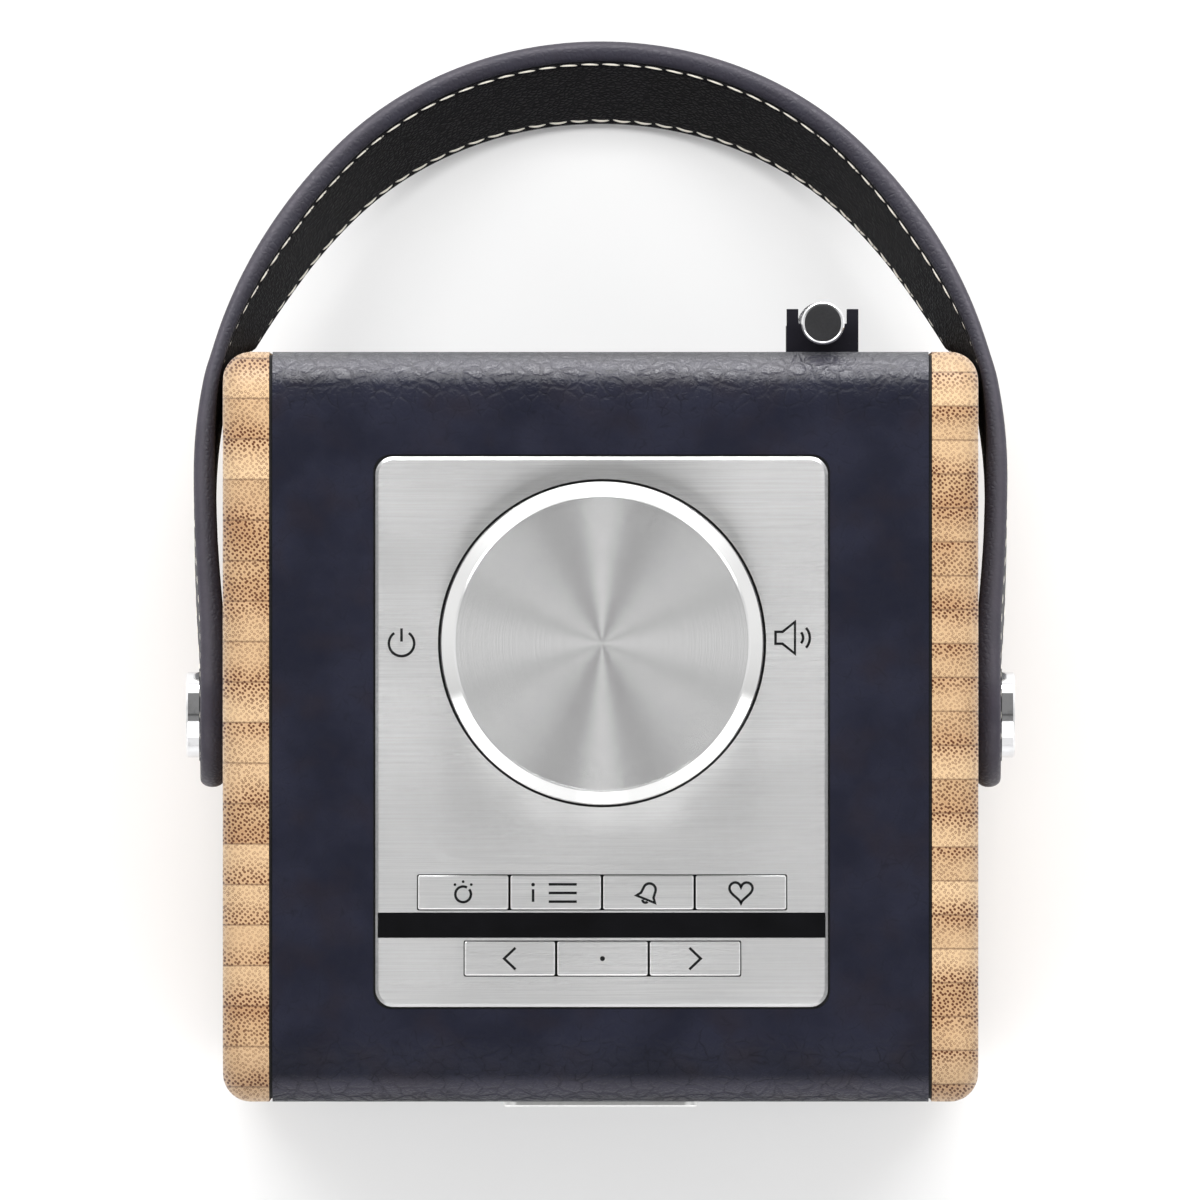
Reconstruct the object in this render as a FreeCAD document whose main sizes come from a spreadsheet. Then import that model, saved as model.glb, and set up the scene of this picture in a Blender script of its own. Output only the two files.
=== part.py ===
"""A leather-covered portable radio with bamboo sides and a swinging strap handle.

Millimetres. X runs to the radio's right, Y to its rear and Z up. The origin is the middle of
the cabinet in plan, on the surface that the rubber feet stand on.
"""

import FreeCAD, Part
import math
import os
import Sketcher

Vector = FreeCAD.Vector
Rotation = FreeCAD.Rotation

SIZES = {
    # cabinet
    "body_width": 140,
    "body_depth": 139,
    "body_height": 139.5,
    "foot_height": 3.5,
    "foot_radius": 7,
    "foot_taper": 0.6,
    "foot_x": 46,
    "foot_y": 50,
    "panel_thickness": 8.6,
    "corner_radius": 12,
    "panel_rounding": 5.2,
    "leather_thickness": 1.5,
    "leather_gap": 0.6,
    "shell_wall": 4.5,
    "boss_radius": 4.5,
    "boss_length": 10,
    "boss_inset": 8,
    "web_thickness": 2,
    "screw_radius": 1.5,
    "screw_head_radius": 2.8,
    "screw_head_height": 1.6,
    "screw_clearance": 0.1,
    "short_screw_length": 5,
    "insert_fit": 0.05,
    "seat_gap": 0.1,
    "deck_gap": 0.2,
    # front
    "front_centre": 63,
    "grille_width": 104,
    "grille_height": 100,
    "grille_corner": 7,
    "grille_thickness": 1.5,
    "grille_chamfer": 0.5,
    "slot_count": 20,
    "slot_pitch": 4.6,
    "slot_height": 2.2,
    "slot_width": 94,
    "cloth_thickness": 0.5,
    "frame_border": 5,
    "frame_corner": 3,
    "baffle_thickness": 4,
    "baffle_overlap": 0.6,
    "fit_gap": 0.3,
    "badge_width": 36,
    "badge_height": 5,
    "badge_depth": 1,
    "badge_chamfer": 0.3,
    "badge_centre": 122.5,
    "speaker_hole_radius": 34,
    "speaker_flange_radius": 40,
    "speaker_flange_thickness": 2.5,
    "speaker_screw_circle": 37,
    "basket_depth": 22,
    "basket_wall": 1.6,
    "basket_play": 0.4,
    "magnet_radius": 22.5,
    "magnet_depth": 16,
    "magnet_plate": 4,
    "voice_gap": 1.2,
    "cone_radius": 27,
    "cone_neck": 10,
    "cone_depth": 13,
    "cone_wall": 0.6,
    "surround_width": 5,
    "dust_cap_radius": 11,
    # control plate
    "plate_width": 83.8,
    "plate_depth": 101.9,
    "plate_thickness": 2,
    "plate_corner": 3.3,
    "plate_bevel": 0.6,
    "plate_x": 0.2,
    "plate_y": -0.9,
    "plate_proud": 0.6,
    "plate_gap": 0.4,
    "ledge": 3,
    "deck_thickness": 3,
    "dial_x": 0.28,
    "dial_y": 15.5,
    "dial_radius": 29.9,
    "dial_hole_radius": 30.4,
    "dial_height": 10,
    "dial_sink": 1,
    "dial_bevel": 2.4,
    "dial_bevel_drop": 1.4,
    "dial_dish": 0.15,
    "dial_wall": 3,
    "hub_radius": 8,
    "spindle_radius": 3,
    "spindle_fit": 0.05,
    "dial_press": 0.8,
    "encoder_width": 14,
    "encoder_height": 6.5,
    "encoder_neck_radius": 5.5,
    "encoder_neck_height": 5,
    "encoder_floor": 1.2,
    "rotor_radius": 4.4,
    "rotor_length": 9.8,
    "rotor_floor": 1,
    "hub_lift": 1.5,
    "button_pitch": 17.15,
    "button_gap": 0.35,
    "button_depth": 6.4,
    "button_edge": 0.15,
    "button_corner": 0.4,
    "button_rounding": 0.25,
    "button_proud": 0.25,
    "button_cap_height": 1.6,
    "button_stem_radius": 1.7,
    "stem_fit": 0.15,
    "stem_gap": 0.4,
    "button_travel": 0.5,
    "upper_row_x": 0.28,
    "upper_row_y": -30.65,
    "lower_row_x": 0.35,
    "lower_row_y": -42.9,
    "window_y": -36.72,
    "window_width": 83,
    "window_depth": 4.7,
    "window_thickness": 1.2,
    "display_width": 58,
    "display_depth": 3.6,
    "display_play": 0.2,
    "window_fit": 0.05,
    "board_thickness": 1.6,
    "board_screw_radius": 1,
    "board_drop": 12,
    "board_screw_head": 1.4,
    "board_screw_x": 33,
    "board_screw_y": 42,
    "board_width": 74,
    "board_depth": 92,
    "switch_width": 6,
    "switch_depth": 5.1,
    "switch_height": 3.1,
    "switch_plunger": 0.8,
    # rear
    "rear_width": 108,
    "rear_height": 112,
    "rear_corner": 8,
    "rear_centre": 70,
    "rear_thickness": 1.5,
    "rear_rounding": 0.5,
    "low_head_height": 0.9,
    "low_head_play": 0.05,
    "rear_lip": 6,
    "rear_screw_inset": 3,
    "rear_screw_rise": 46,
    "socket_x": -38,
    "dc_height": 62,
    "aux_height": 78,
    "phones_height": 94,
    "socket_radius": 4.2,
    "jack_radius": 1.8,
    "dc_radius": 2.8,
    "socket_length": 15.8,
    "socket_floor": 2,
    "bay_x": -10,
    "bay_height": 40,
    "bay_width": 72,
    "bay_opening": 30,
    "bay_wall": 1.5,
    "bay_inset": 1,
    "bay_corner": 3,
    "bay_depth": 40,
    "pack_depth": 34,
    "pack_play": 0.6,
    "pack_rounding": 4,
    "contact_depth": 1.8,
    "contact_width": 8,
    "contact_height": 10,
    "contact_x": 24,
    "door_gap": 0.35,
    "door_lip_inset": 2,
    "door_lip_depth": 1.8,
    "scoop_width": 14,
    "scoop_height": 4,
    "scoop_inset": 3,
    "scoop_depth": 0.9,
    "main_board_y": 52,
    "main_board_width": 78,
    "main_board_height": 50,
    "main_board_centre": 82,
    "chip_height": 1.5,
    "tuner_left": -4,
    "tuner_width": 24,
    "tuner_height": 20,
    "tuner_depth": 3.6,
    "standoff_inset": 4,
    "standoff_radius": 2.5,
    # antenna
    "antenna_x": 41.2,
    "antenna_y": 74.8,
    "shelf_bottom": 33,
    "shelf_top": 38,
    "shelf_width": 13,
    "shelf_nose_radius": 4.3,
    "swivel_radius": 4.4,
    "swivel_pin_radius": 2,
    "swivel_disc_height": 2.4,
    "swivel_ring_height": 1.3,
    "elbow_height": 46,
    "elbow_radius": 3.4,
    "elbow_pin_radius": 1,
    "tongue_half": 1.85,
    "pin_fit": 0.05,
    "tube_radius": 3.5,
    "tube_wall": 0.45,
    "tube_floor": 1.5,
    "tube_bottom": 52,
    "tube_top": 129,
    "rim_step": 1.5,
    "rod_start": 6.5,
    "tip_radius": 4,
    "tip_length": 5,
    "tip_rounding": 0.7,
    "clip_width": 13.3,
    "clip_depth": 8,
    "clip_bottom": 112,
    "clip_top": 122,
    "clip_slot_radius": 3.8,
    "clip_mouth_half": 4.5,
    # handle
    "pivot_y": 2.1,
    "pivot_height": 76.5,
    "droop_angle": 28.5,
    "strap_width": 27,
    "strap_reach": 134.8,
    "strap_half_span": 76.4,
    "strap_foot_half": 74.4,
    "strap_foot_end": 13.5,
    "strap_foot_flat": 8,
    "leather_layer": 1.8,
    "lining_layer": 1.35,
    "layer_gap": 0.05,
    "eyelet_bore": 3.05,
    "eyelet_radius": 4.2,
    "stud_radius": 8,
    "stud_thickness": 2.4,
    "stud_rounding": 0.3,
    "stud_base": 74.8,
    "shoulder_radius": 3,
    "thread_radius": 2.4,
    "washer_radius": 8.6,
    "spacer_radius": 10,
    "insert_radius": 6,
    "insert_length": 8,
    "insert_inset": 0.5,
}

# How close a point counts as on a face, and how much a slot's round ends fall short of a full half circle.
TOUCH = 1e-4
ROUND_END = 0.01

DOC = FreeCAD.newDocument("portable_radio")
SHEET = DOC.addObject("Spreadsheet::Sheet", "Sizes")
NODES = []


class Size:
    """A length that knows its value and the formula that ties it to the sheet."""

    def __init__(self, value, text):
        self.value = value
        self.text = text

    def __add__(self, other):
        other = as_size(other)
        return Size(self.value + other.value, f"({self.text} + {other.text})")

    def __sub__(self, other):
        other = as_size(other)
        return Size(self.value - other.value, f"({self.text} - {other.text})")

    def __mul__(self, other):
        other = as_size(other)
        return Size(self.value * other.value, f"({self.text} * {other.text})")

    def __truediv__(self, other):
        other = as_size(other)
        return Size(self.value / other.value, f"({self.text} / {other.text})")

    def __neg__(self):
        return Size(-self.value, f"(0 - {self.text})")

    def __radd__(self, other):
        return as_size(other) + self

    def __rsub__(self, other):
        return as_size(other) - self

    def __rmul__(self, other):
        return as_size(other) * self


def as_size(number):
    """A plain number as a Size, and a Size as it is."""
    if isinstance(number, Size):
        return number
    return Size(float(number), f"({number})")


def cell(name):
    """The Size held by one cell of the sheet."""
    return Size(float(SIZES[name]), f"Sizes.{name}")


def fill_sheet():
    """Writes each driving dimension beside its name, and gives the cell that name."""
    for row, (name, value) in enumerate(SIZES.items(), start=1):
        SHEET.set(f"A{row}", name)
        SHEET.set(f"B{row}", str(value))
        SHEET.setAlias(f"B{row}", name)
    DOC.recompute()


def bind(target, path, size):
    """Ties one property of an object to the sheet."""
    target.setExpression(path, as_size(size).text)


def place(target, x=0, y=0, z=0):
    """Ties an object's position to the sheet."""
    bind(target, "Placement.Base.x", x)
    bind(target, "Placement.Base.y", y)
    bind(target, "Placement.Base.z", z)


# ---------------------------------------------------------------- sketches and features


def new_body(label):
    body = DOC.addObject("PartDesign::Body", f"{label}_body")
    body.Label = label
    return body


def new_sketch(body, role, shift=0):
    """A sketch on one of its body's origin planes, shifted along the plane's normal."""
    plane = next(f for f in body.Origin.OriginFeatures if f.Role == role)
    sketch = body.newObject("Sketcher::SketchObject", f"{body.Label}_sketch")
    sketch.AttachmentSupport = (plane, [""])
    sketch.MapMode = "FlatFace"
    bind(sketch, "AttachmentOffset.Base.z", shift)
    return sketch


def constrain(sketch, kind, size, *where):
    """Adds a dimension to a sketch and ties it to the sheet."""
    size = as_size(size)
    number = sketch.addConstraint(Sketcher.Constraint(kind, *where, size.value))
    bind(sketch, f"Constraints[{number}]", size)


def pin_point(sketch, item, end, x, y):
    """Fixes a point of a sketch at a distance from the sketch's origin."""
    constrain(sketch, "DistanceX", x, -1, 1, item, end)
    constrain(sketch, "DistanceY", y, -1, 1, item, end)


def draw_circle(sketch, x, y, radius):
    x, y, radius = as_size(x), as_size(y), as_size(radius)
    shape = Part.Circle(Vector(x.value, y.value, 0), Vector(0, 0, 1), radius.value)
    item = sketch.addGeometry(shape)
    pin_point(sketch, item, 3, x, y)
    constrain(sketch, "Radius", radius, item)


def draw_outline(sketch, points):
    """A closed outline of straight lines through the given points."""
    corners = [(as_size(x), as_size(y)) for x, y in points]
    items = []
    for (x0, y0), (x1, y1) in zip(corners, corners[1:] + corners[:1]):
        line = Part.LineSegment(Vector(x0.value, y0.value, 0), Vector(x1.value, y1.value, 0))
        items.append(sketch.addGeometry(line))
    for item, following in zip(items, items[1:] + items[:1]):
        sketch.addConstraint(Sketcher.Constraint("Coincident", item, 2, following, 1))
    for item, (x, y) in zip(items, corners):
        pin_point(sketch, item, 1, x, y)


def draw_rectangle(sketch, left, right, low, high):
    draw_outline(sketch, [(left, low), (right, low), (right, high), (left, high)])


def draw_rounded(sketch, left, right, low, high, radius):
    """A rectangle whose four corners are tangent arcs of one radius."""
    left, right, low, high = (as_size(v) for v in (left, right, low, high))
    radius = as_size(radius)
    r = radius.value
    x0, x1, y0, y1 = left.value, right.value, low.value, high.value
    sides = [
        ((x0 + r, y0), (x1 - r, y0)),
        ((x1, y0 + r), (x1, y1 - r)),
        ((x1 - r, y1), (x0 + r, y1)),
        ((x0, y1 - r), (x0, y0 + r)),
    ]
    centres = [(x1 - r, y0 + r), (x1 - r, y1 - r), (x0 + r, y1 - r), (x0 + r, y0 + r)]
    lines = []
    arcs = []
    for start, end in sides:
        lines.append(sketch.addGeometry(Part.LineSegment(Vector(*start, 0), Vector(*end, 0))))
    for turn, centre in enumerate(centres):
        circle = Part.Circle(Vector(*centre, 0), Vector(0, 0, 1), r)
        start = (turn - 1) * math.pi / 2
        arcs.append(sketch.addGeometry(Part.ArcOfCircle(circle, start, start + math.pi / 2)))
    for turn in range(4):
        following = lines[(turn + 1) % 4]
        sketch.addConstraint(Sketcher.Constraint("Tangent", lines[turn], 2, arcs[turn], 1))
        sketch.addConstraint(Sketcher.Constraint("Tangent", arcs[turn], 2, following, 1))
        kind = "Vertical" if turn % 2 else "Horizontal"
        sketch.addConstraint(Sketcher.Constraint(kind, lines[turn]))
    for arc in arcs[1:]:
        sketch.addConstraint(Sketcher.Constraint("Equal", arcs[0], arc))
    constrain(sketch, "Radius", radius, arcs[0])
    constrain(sketch, "DistanceY", low, -1, 1, lines[0], 1)
    constrain(sketch, "DistanceX", right, -1, 1, lines[1], 1)
    constrain(sketch, "DistanceY", high, -1, 1, lines[2], 1)
    constrain(sketch, "DistanceX", left, -1, 1, lines[3], 1)


def pad(body, sketch, length, symmetric=False, reverse=False):
    feature = body.newObject("PartDesign::Pad", f"{body.Label}_pad")
    feature.Profile = sketch
    feature.SideType = "Symmetric" if symmetric else "One side"
    feature.Reversed = reverse
    bind(feature, "Length", length)
    DOC.recompute()
    return feature


def pocket(body, sketch, length, symmetric=False, reverse=False):
    """Cuts a sketch out of a body, and makes sure that it takes something away."""
    before = body.Shape.Volume
    feature = body.newObject("PartDesign::Pocket", f"{body.Label}_pocket")
    feature.Profile = sketch
    feature.SideType = "Symmetric" if symmetric else "One side"
    feature.Reversed = reverse
    bind(feature, "Length", length)
    DOC.recompute()
    if body.Shape.Volume >= before:
        raise RuntimeError(f"a pocket in {body.Label} cuts nothing")
    return feature


def revolve(body, sketch, axis="V_Axis"):
    feature = body.newObject("PartDesign::Revolution", f"{body.Label}_turning")
    feature.Profile = sketch
    feature.ReferenceAxis = (sketch, [axis])
    feature.Angle = 360
    DOC.recompute()
    return feature


def dress(body, kind, edges, size):
    """A fillet or chamfer on chosen edges of a body's latest feature."""
    base = body.Tip
    feature = body.newObject(f"PartDesign::{kind}", f"{body.Label}_{kind.lower()}")
    feature.Base = (base, [f"Edge{number}" for number in edges])
    bind(feature, "Radius" if kind == "Fillet" else "Size", size)
    DOC.recompute()
    return feature


def edges_where(shape, test):
    """The numbers of the edges whose every sample point passes a test."""
    found = []
    for number, edge in enumerate(shape.Edges, start=1):
        if all(test(point) for point in edge.discretize(5)):
            found.append(number)
    return found


def keep(item, label=None):
    """Marks an object as a finished sub-part, named by its label."""
    if label:
        item.Label = label
    NODES.append(item)
    return item


# ---------------------------------------------------------------- primitives and booleans

AXIS_TURN = {
    "x": Rotation(Vector(0, 1, 0), 90),
    "y": Rotation(Vector(1, 0, 0), -90),
    "z": Rotation(),
}


def block(name, x0, x1, y0, y1, z0, z1):
    """A box between two corners."""
    item = DOC.addObject("Part::Box", name)
    bind(item, "Length", as_size(x1) - x0)
    bind(item, "Width", as_size(y1) - y0)
    bind(item, "Height", as_size(z1) - z0)
    place(item, x0, y0, z0)
    return item


def rod(name, axis, x, y, z, radius, length):
    """A cylinder that starts at a point and runs along one axis."""
    item = DOC.addObject("Part::Cylinder", name)
    item.Placement = FreeCAD.Placement(Vector(), AXIS_TURN[axis])
    bind(item, "Radius", radius)
    bind(item, "Height", length)
    place(item, x, y, z)
    return item


def taper(name, axis, x, y, z, start_radius, end_radius, length):
    """A cone frustum that starts at a point and runs along one axis."""
    item = DOC.addObject("Part::Cone", name)
    item.Placement = FreeCAD.Placement(Vector(), AXIS_TURN[axis])
    bind(item, "Radius1", start_radius)
    bind(item, "Radius2", end_radius)
    bind(item, "Height", length)
    place(item, x, y, z)
    return item


def fuse(name, *pieces):
    item = DOC.addObject("Part::MultiFuse", name)
    item.Shapes = list(pieces)
    return item


def cut(name, base, *tools):
    item = DOC.addObject("Part::Cut", name)
    item.Base = base
    item.Tool = tools[0] if len(tools) == 1 else fuse(f"{name}_tools", *tools)
    return item


def group(name, pieces):
    """Separate solids that share one node."""
    item = DOC.addObject("Part::Compound", name)
    item.Links = list(pieces)
    return item


def screw(name, axis, x, y, z, length, outward=1, head_height=None):
    """A screw: its head starts at the point, and its shank runs on along the axis."""
    head_height = head_height or cell("screw_head_height")
    shank_start = {"x": x, "y": y, "z": z}
    head_start = dict(shank_start)
    if outward > 0:
        shank_start[axis] = as_size(shank_start[axis]) + head_height
    else:
        head_start[axis] = as_size(head_start[axis]) - head_height
        shank_start[axis] = as_size(head_start[axis]) - length
    head = rod(
        f"{name}_head", axis, head_start["x"], head_start["y"], head_start["z"],
        cell("screw_head_radius"), head_height,
    )
    shank = rod(
        f"{name}_shank", axis, shank_start["x"], shank_start["y"], shank_start["z"],
        cell("screw_radius"), length,
    )
    return fuse(name, head, shank)


# ---------------------------------------------------------------- levels shared by the pieces


def cabinet_bottom():
    return cell("foot_height")


def cabinet_top():
    return cell("foot_height") + cell("body_height")


def cabinet_rear():
    return cell("body_depth") / 2


def panel_inner():
    return cell("body_width") / 2 - cell("panel_thickness")


def shell_rear():
    return cabinet_rear() - cell("leather_thickness")


def plate_top():
    return cabinet_top() + cell("plate_proud")


def deck_top():
    return plate_top() - cell("plate_thickness") - cell("deck_gap")


def board_top():
    return deck_top() - cell("board_drop")


def shell_inner_rear():
    return shell_rear() - cell("shell_wall")


# ---------------------------------------------------------------- casing


def cabinet_belt(label, inset, wall, half_width):
    """A band round the top, front, bottom and rear: a rounded ring in side view."""
    body = new_body(label)
    sketch = new_sketch(body, "YZ_Plane")
    for depth in (as_size(inset), inset + wall):
        draw_rounded(
            sketch,
            -cabinet_rear() + depth,
            cabinet_rear() - depth,
            cabinet_bottom() + depth,
            cabinet_top() - depth,
            cell("corner_radius") - depth,
        )
    pad(body, sketch, 2 * half_width, symmetric=True)
    return body


def top_opening(body, margin):
    sketch = new_sketch(body, "XY_Plane", cell("body_height") / 2)
    half_x = cell("plate_width") / 2 + margin
    half_y = cell("plate_depth") / 2 + margin
    draw_rounded(
        sketch,
        cell("plate_x") - half_x,
        cell("plate_x") + half_x,
        cell("plate_y") - half_y,
        cell("plate_y") + half_y,
        cell("plate_corner"),
    )
    pocket(body, sketch, cell("body_height"), reverse=True)


def front_opening(body, margin):
    sketch = new_sketch(body, "XZ_Plane")
    half_x = cell("grille_width") / 2 + margin
    half_z = cell("grille_height") / 2 + margin
    centre = cell("front_centre")
    draw_rounded(sketch, -half_x, half_x, centre - half_z, centre + half_z, cell("grille_corner"))
    pocket(body, sketch, cell("body_depth"), reverse=True)


def rear_opening(body, margin):
    sketch = new_sketch(body, "XZ_Plane")
    half_x = cell("rear_width") / 2 + margin
    half_z = cell("rear_height") / 2 + margin
    centre = cell("rear_centre")
    draw_rounded(sketch, -half_x, half_x, centre - half_z, centre + half_z, cell("rear_corner"))
    pocket(body, sketch, cell("body_depth"))


def corner_places():
    """The four places in side view where screws join the side panels to the shell."""
    inset = cell("leather_thickness") + cell("shell_wall") + cell("boss_inset")
    for y in (-cabinet_rear() + inset, cabinet_rear() - inset):
        for z in (cabinet_bottom() + inset, cabinet_top() - inset):
            yield y, z


def make_shell():
    body = cabinet_belt(
        "cabinet_shell", cell("leather_thickness"), cell("shell_wall"), panel_inner()
    )
    top_opening(body, -cell("ledge"))
    front_opening(body, -cell("ledge"))
    rear_opening(body, -cell("rear_lip"))
    pilots = new_sketch(body, "XZ_Plane", -shell_rear())
    for x, z in rear_screw_places():
        draw_circle(pilots, x, z, cell("screw_radius"))
    pocket(body, pilots, 3 * cell("shell_wall"), symmetric=True)
    body.Label = "shell_belt"
    bosses = []
    reach = cell("boss_inset") + cell("boss_radius")
    web = cell("web_thickness")
    for number, (y, z) in enumerate(corner_places()):
        for side in (-1, 1):
            start = -panel_inner() if side < 0 else panel_inner() - cell("boss_length")
            name = f"boss_{number}_{side + 1}"
            post = rod(f"{name}_post", "x", start, y, z, cell("boss_radius"), cell("boss_length"))
            low_y = as_size(y) - (reach if y.value < 0 else 0)
            rib = block(
                f"{name}_web", start, start + cell("boss_length"),
                low_y, low_y + reach, z - web / 2, z + web / 2,
            )
            hole = rod(
                f"{name}_hole", "x", start, y, z,
                cell("screw_radius") + cell("screw_clearance"), cell("boss_length"),
            )
            bosses.append(cut(name, fuse(f"{name}_solid", post, rib), hole))
    keep(fuse("cabinet_shell", body, *bosses))


def make_leather_wrap():
    body = cabinet_belt(
        "leather_wrap", 0, cell("leather_thickness"), panel_inner() - cell("leather_gap")
    )
    top_opening(body, cell("plate_gap"))
    front_opening(body, cell("plate_gap"))
    rear_opening(body, cell("plate_gap"))
    keep(body)


def make_side_panel(label, side):
    """A solid bamboo side with a soft outer edge, drilled for its pivot and its screws."""
    body = new_body(label)
    outer = side * cell("body_width") / 2
    sketch = new_sketch(body, "YZ_Plane", side * panel_inner())
    draw_rounded(
        sketch, -cabinet_rear(), cabinet_rear(), cabinet_bottom(), cabinet_top(),
        cell("corner_radius"),
    )
    pad(body, sketch, cell("panel_thickness"), reverse=side < 0)
    rim = edges_where(body.Shape, lambda point: abs(point.x - outer.value) < TOUCH)
    dress(body, "Fillet", rim, cell("panel_rounding"))
    holes = new_sketch(body, "YZ_Plane", side * panel_inner())
    draw_circle(holes, cell("pivot_y"), cell("pivot_height"), cell("insert_radius") + cell("insert_fit"))
    pocket(body, holes, cell("panel_thickness"), reverse=side > 0)
    pilots = new_sketch(body, "YZ_Plane", side * panel_inner())
    for y, z in corner_places():
        draw_circle(pilots, y, z, cell("screw_radius"))
    pocket(body, pilots, cell("panel_thickness") * 2 / 3, reverse=side > 0)
    keep(body)


def make_panel_screws():
    pieces = []
    grip = cell("boss_length") + cell("panel_thickness") / 2
    head = panel_inner() - cell("boss_length")
    for number, (y, z) in enumerate(corner_places()):
        start = head - cell("screw_head_height")
        pieces.append(screw(f"panel_screw_right_{number}", "x", start, y, z, grip))
        pieces.append(screw(f"panel_screw_left_{number}", "x", -start, y, z, grip, outward=-1))
    keep(group("panel_screws", pieces))


def make_feet():
    pieces = []
    for x in (-cell("foot_x"), cell("foot_x")):
        for y in (-cell("foot_y"), cell("foot_y")):
            name = f"foot_{len(pieces)}"
            pieces.append(
                taper(
                    name, "z", x, y, 0, cell("foot_radius") - cell("foot_taper"),
                    cell("foot_radius"), cell("foot_height"),
                )
            )
    keep(group("rubber_feet", pieces))


# ---------------------------------------------------------------- front


def grille_plate(label, border, rear_face, thickness):
    """A rounded plate in the front opening, from its rear face forwards."""
    body = new_body(label)
    sketch = new_sketch(body, "XZ_Plane", -as_size(rear_face))
    half_x = cell("grille_width") / 2 - border
    half_z = cell("grille_height") / 2 - border
    centre = cell("front_centre")
    draw_rounded(sketch, -half_x, half_x, centre - half_z, centre + half_z, cell("grille_corner"))
    pad(body, sketch, thickness)
    return body


def make_grille():
    """An aluminium plate with a column of long rounded slots."""
    back = -shell_rear() - cell("seat_gap")
    body = grille_plate("speaker_grille", 0, back, cell("grille_thickness"))
    front = back - cell("grille_thickness")
    rim = edges_where(body.Shape, lambda point: abs(point.y - front.value) < TOUCH)
    dress(body, "Chamfer", rim, cell("grille_chamfer"))
    column = cell("slot_pitch") * (cell("slot_count") - 1)
    low = cell("front_centre") - column / 2 - cell("slot_height") / 2
    sketch = new_sketch(body, "XZ_Plane", -back)
    draw_rounded(
        sketch, -cell("slot_width") / 2, cell("slot_width") / 2, low,
        low + cell("slot_height"), cell("slot_height") / 2 - ROUND_END,
    )
    slot = pocket(body, sketch, 2 * cell("grille_thickness"), symmetric=True)
    row = body.newObject("PartDesign::LinearPattern", "slot_column")
    row.Originals = [slot]
    row.Direction = (sketch, ["V_Axis"])
    bind(row, "Length", column)
    bind(row, "Occurrences", cell("slot_count"))
    body.Tip = row
    keep(body)


def make_grille_backing():
    """The acoustic cloth and, behind it, the frame that holds it in the opening."""
    gap = cell("seat_gap")
    cloth_rear = -shell_rear() + gap + cell("cloth_thickness")
    border = cell("ledge") + cell("fit_gap")
    cloth = grille_plate("grille_cloth", border, cloth_rear, cell("cloth_thickness"))
    keep(cloth)
    depth = cell("shell_wall") - cell("cloth_thickness") - 4 * gap
    frame_rear = cloth_rear + gap + depth
    frame = grille_plate("grille_frame", border, frame_rear, depth)
    window = new_sketch(frame, "XZ_Plane", -frame_rear)
    half_x = cell("grille_width") / 2 - border - cell("frame_border")
    half_z = cell("grille_height") / 2 - border - cell("frame_border")
    centre = cell("front_centre")
    corner = cell("frame_corner")
    draw_rounded(window, -half_x, half_x, centre - half_z, centre + half_z, corner)
    pocket(frame, window, 2 * depth, symmetric=True)
    keep(frame)


def baffle_front():
    return -shell_rear() + cell("shell_wall")


def baffle_rear():
    return baffle_front() + cell("baffle_thickness")


def speaker_screw_places():
    """Four places on the speaker's screw circle, between the axes."""
    step = cell("speaker_screw_circle") * math.sqrt(0.5)
    for side in (-1, 1):
        for level in (-1, 1):
            yield side * step, cell("front_centre") + level * step


def make_baffle():
    border = cell("ledge") - cell("baffle_overlap")
    body = grille_plate("speaker_baffle", border, baffle_rear(), cell("baffle_thickness"))
    hole = new_sketch(body, "XZ_Plane", -baffle_rear())
    draw_circle(hole, 0, cell("front_centre"), cell("speaker_hole_radius"))
    pocket(body, hole, 2 * cell("baffle_thickness"), symmetric=True)
    pilots = new_sketch(body, "XZ_Plane", -baffle_rear())
    for x, z in speaker_screw_places():
        draw_circle(pilots, x, z, cell("screw_radius"))
    pocket(body, pilots, 2 * cell("baffle_thickness"), symmetric=True)
    keep(body)


def turned_on_speaker_axis(label, points):
    """A ring turned about the speaker's axis, from (radius, distance behind the baffle)."""
    body = new_body(label)
    sketch = new_sketch(body, "XY_Plane", cell("front_centre"))
    draw_outline(sketch, [(radius, baffle_rear() + y) for radius, y in points])
    revolve(body, sketch)
    return body


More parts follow.
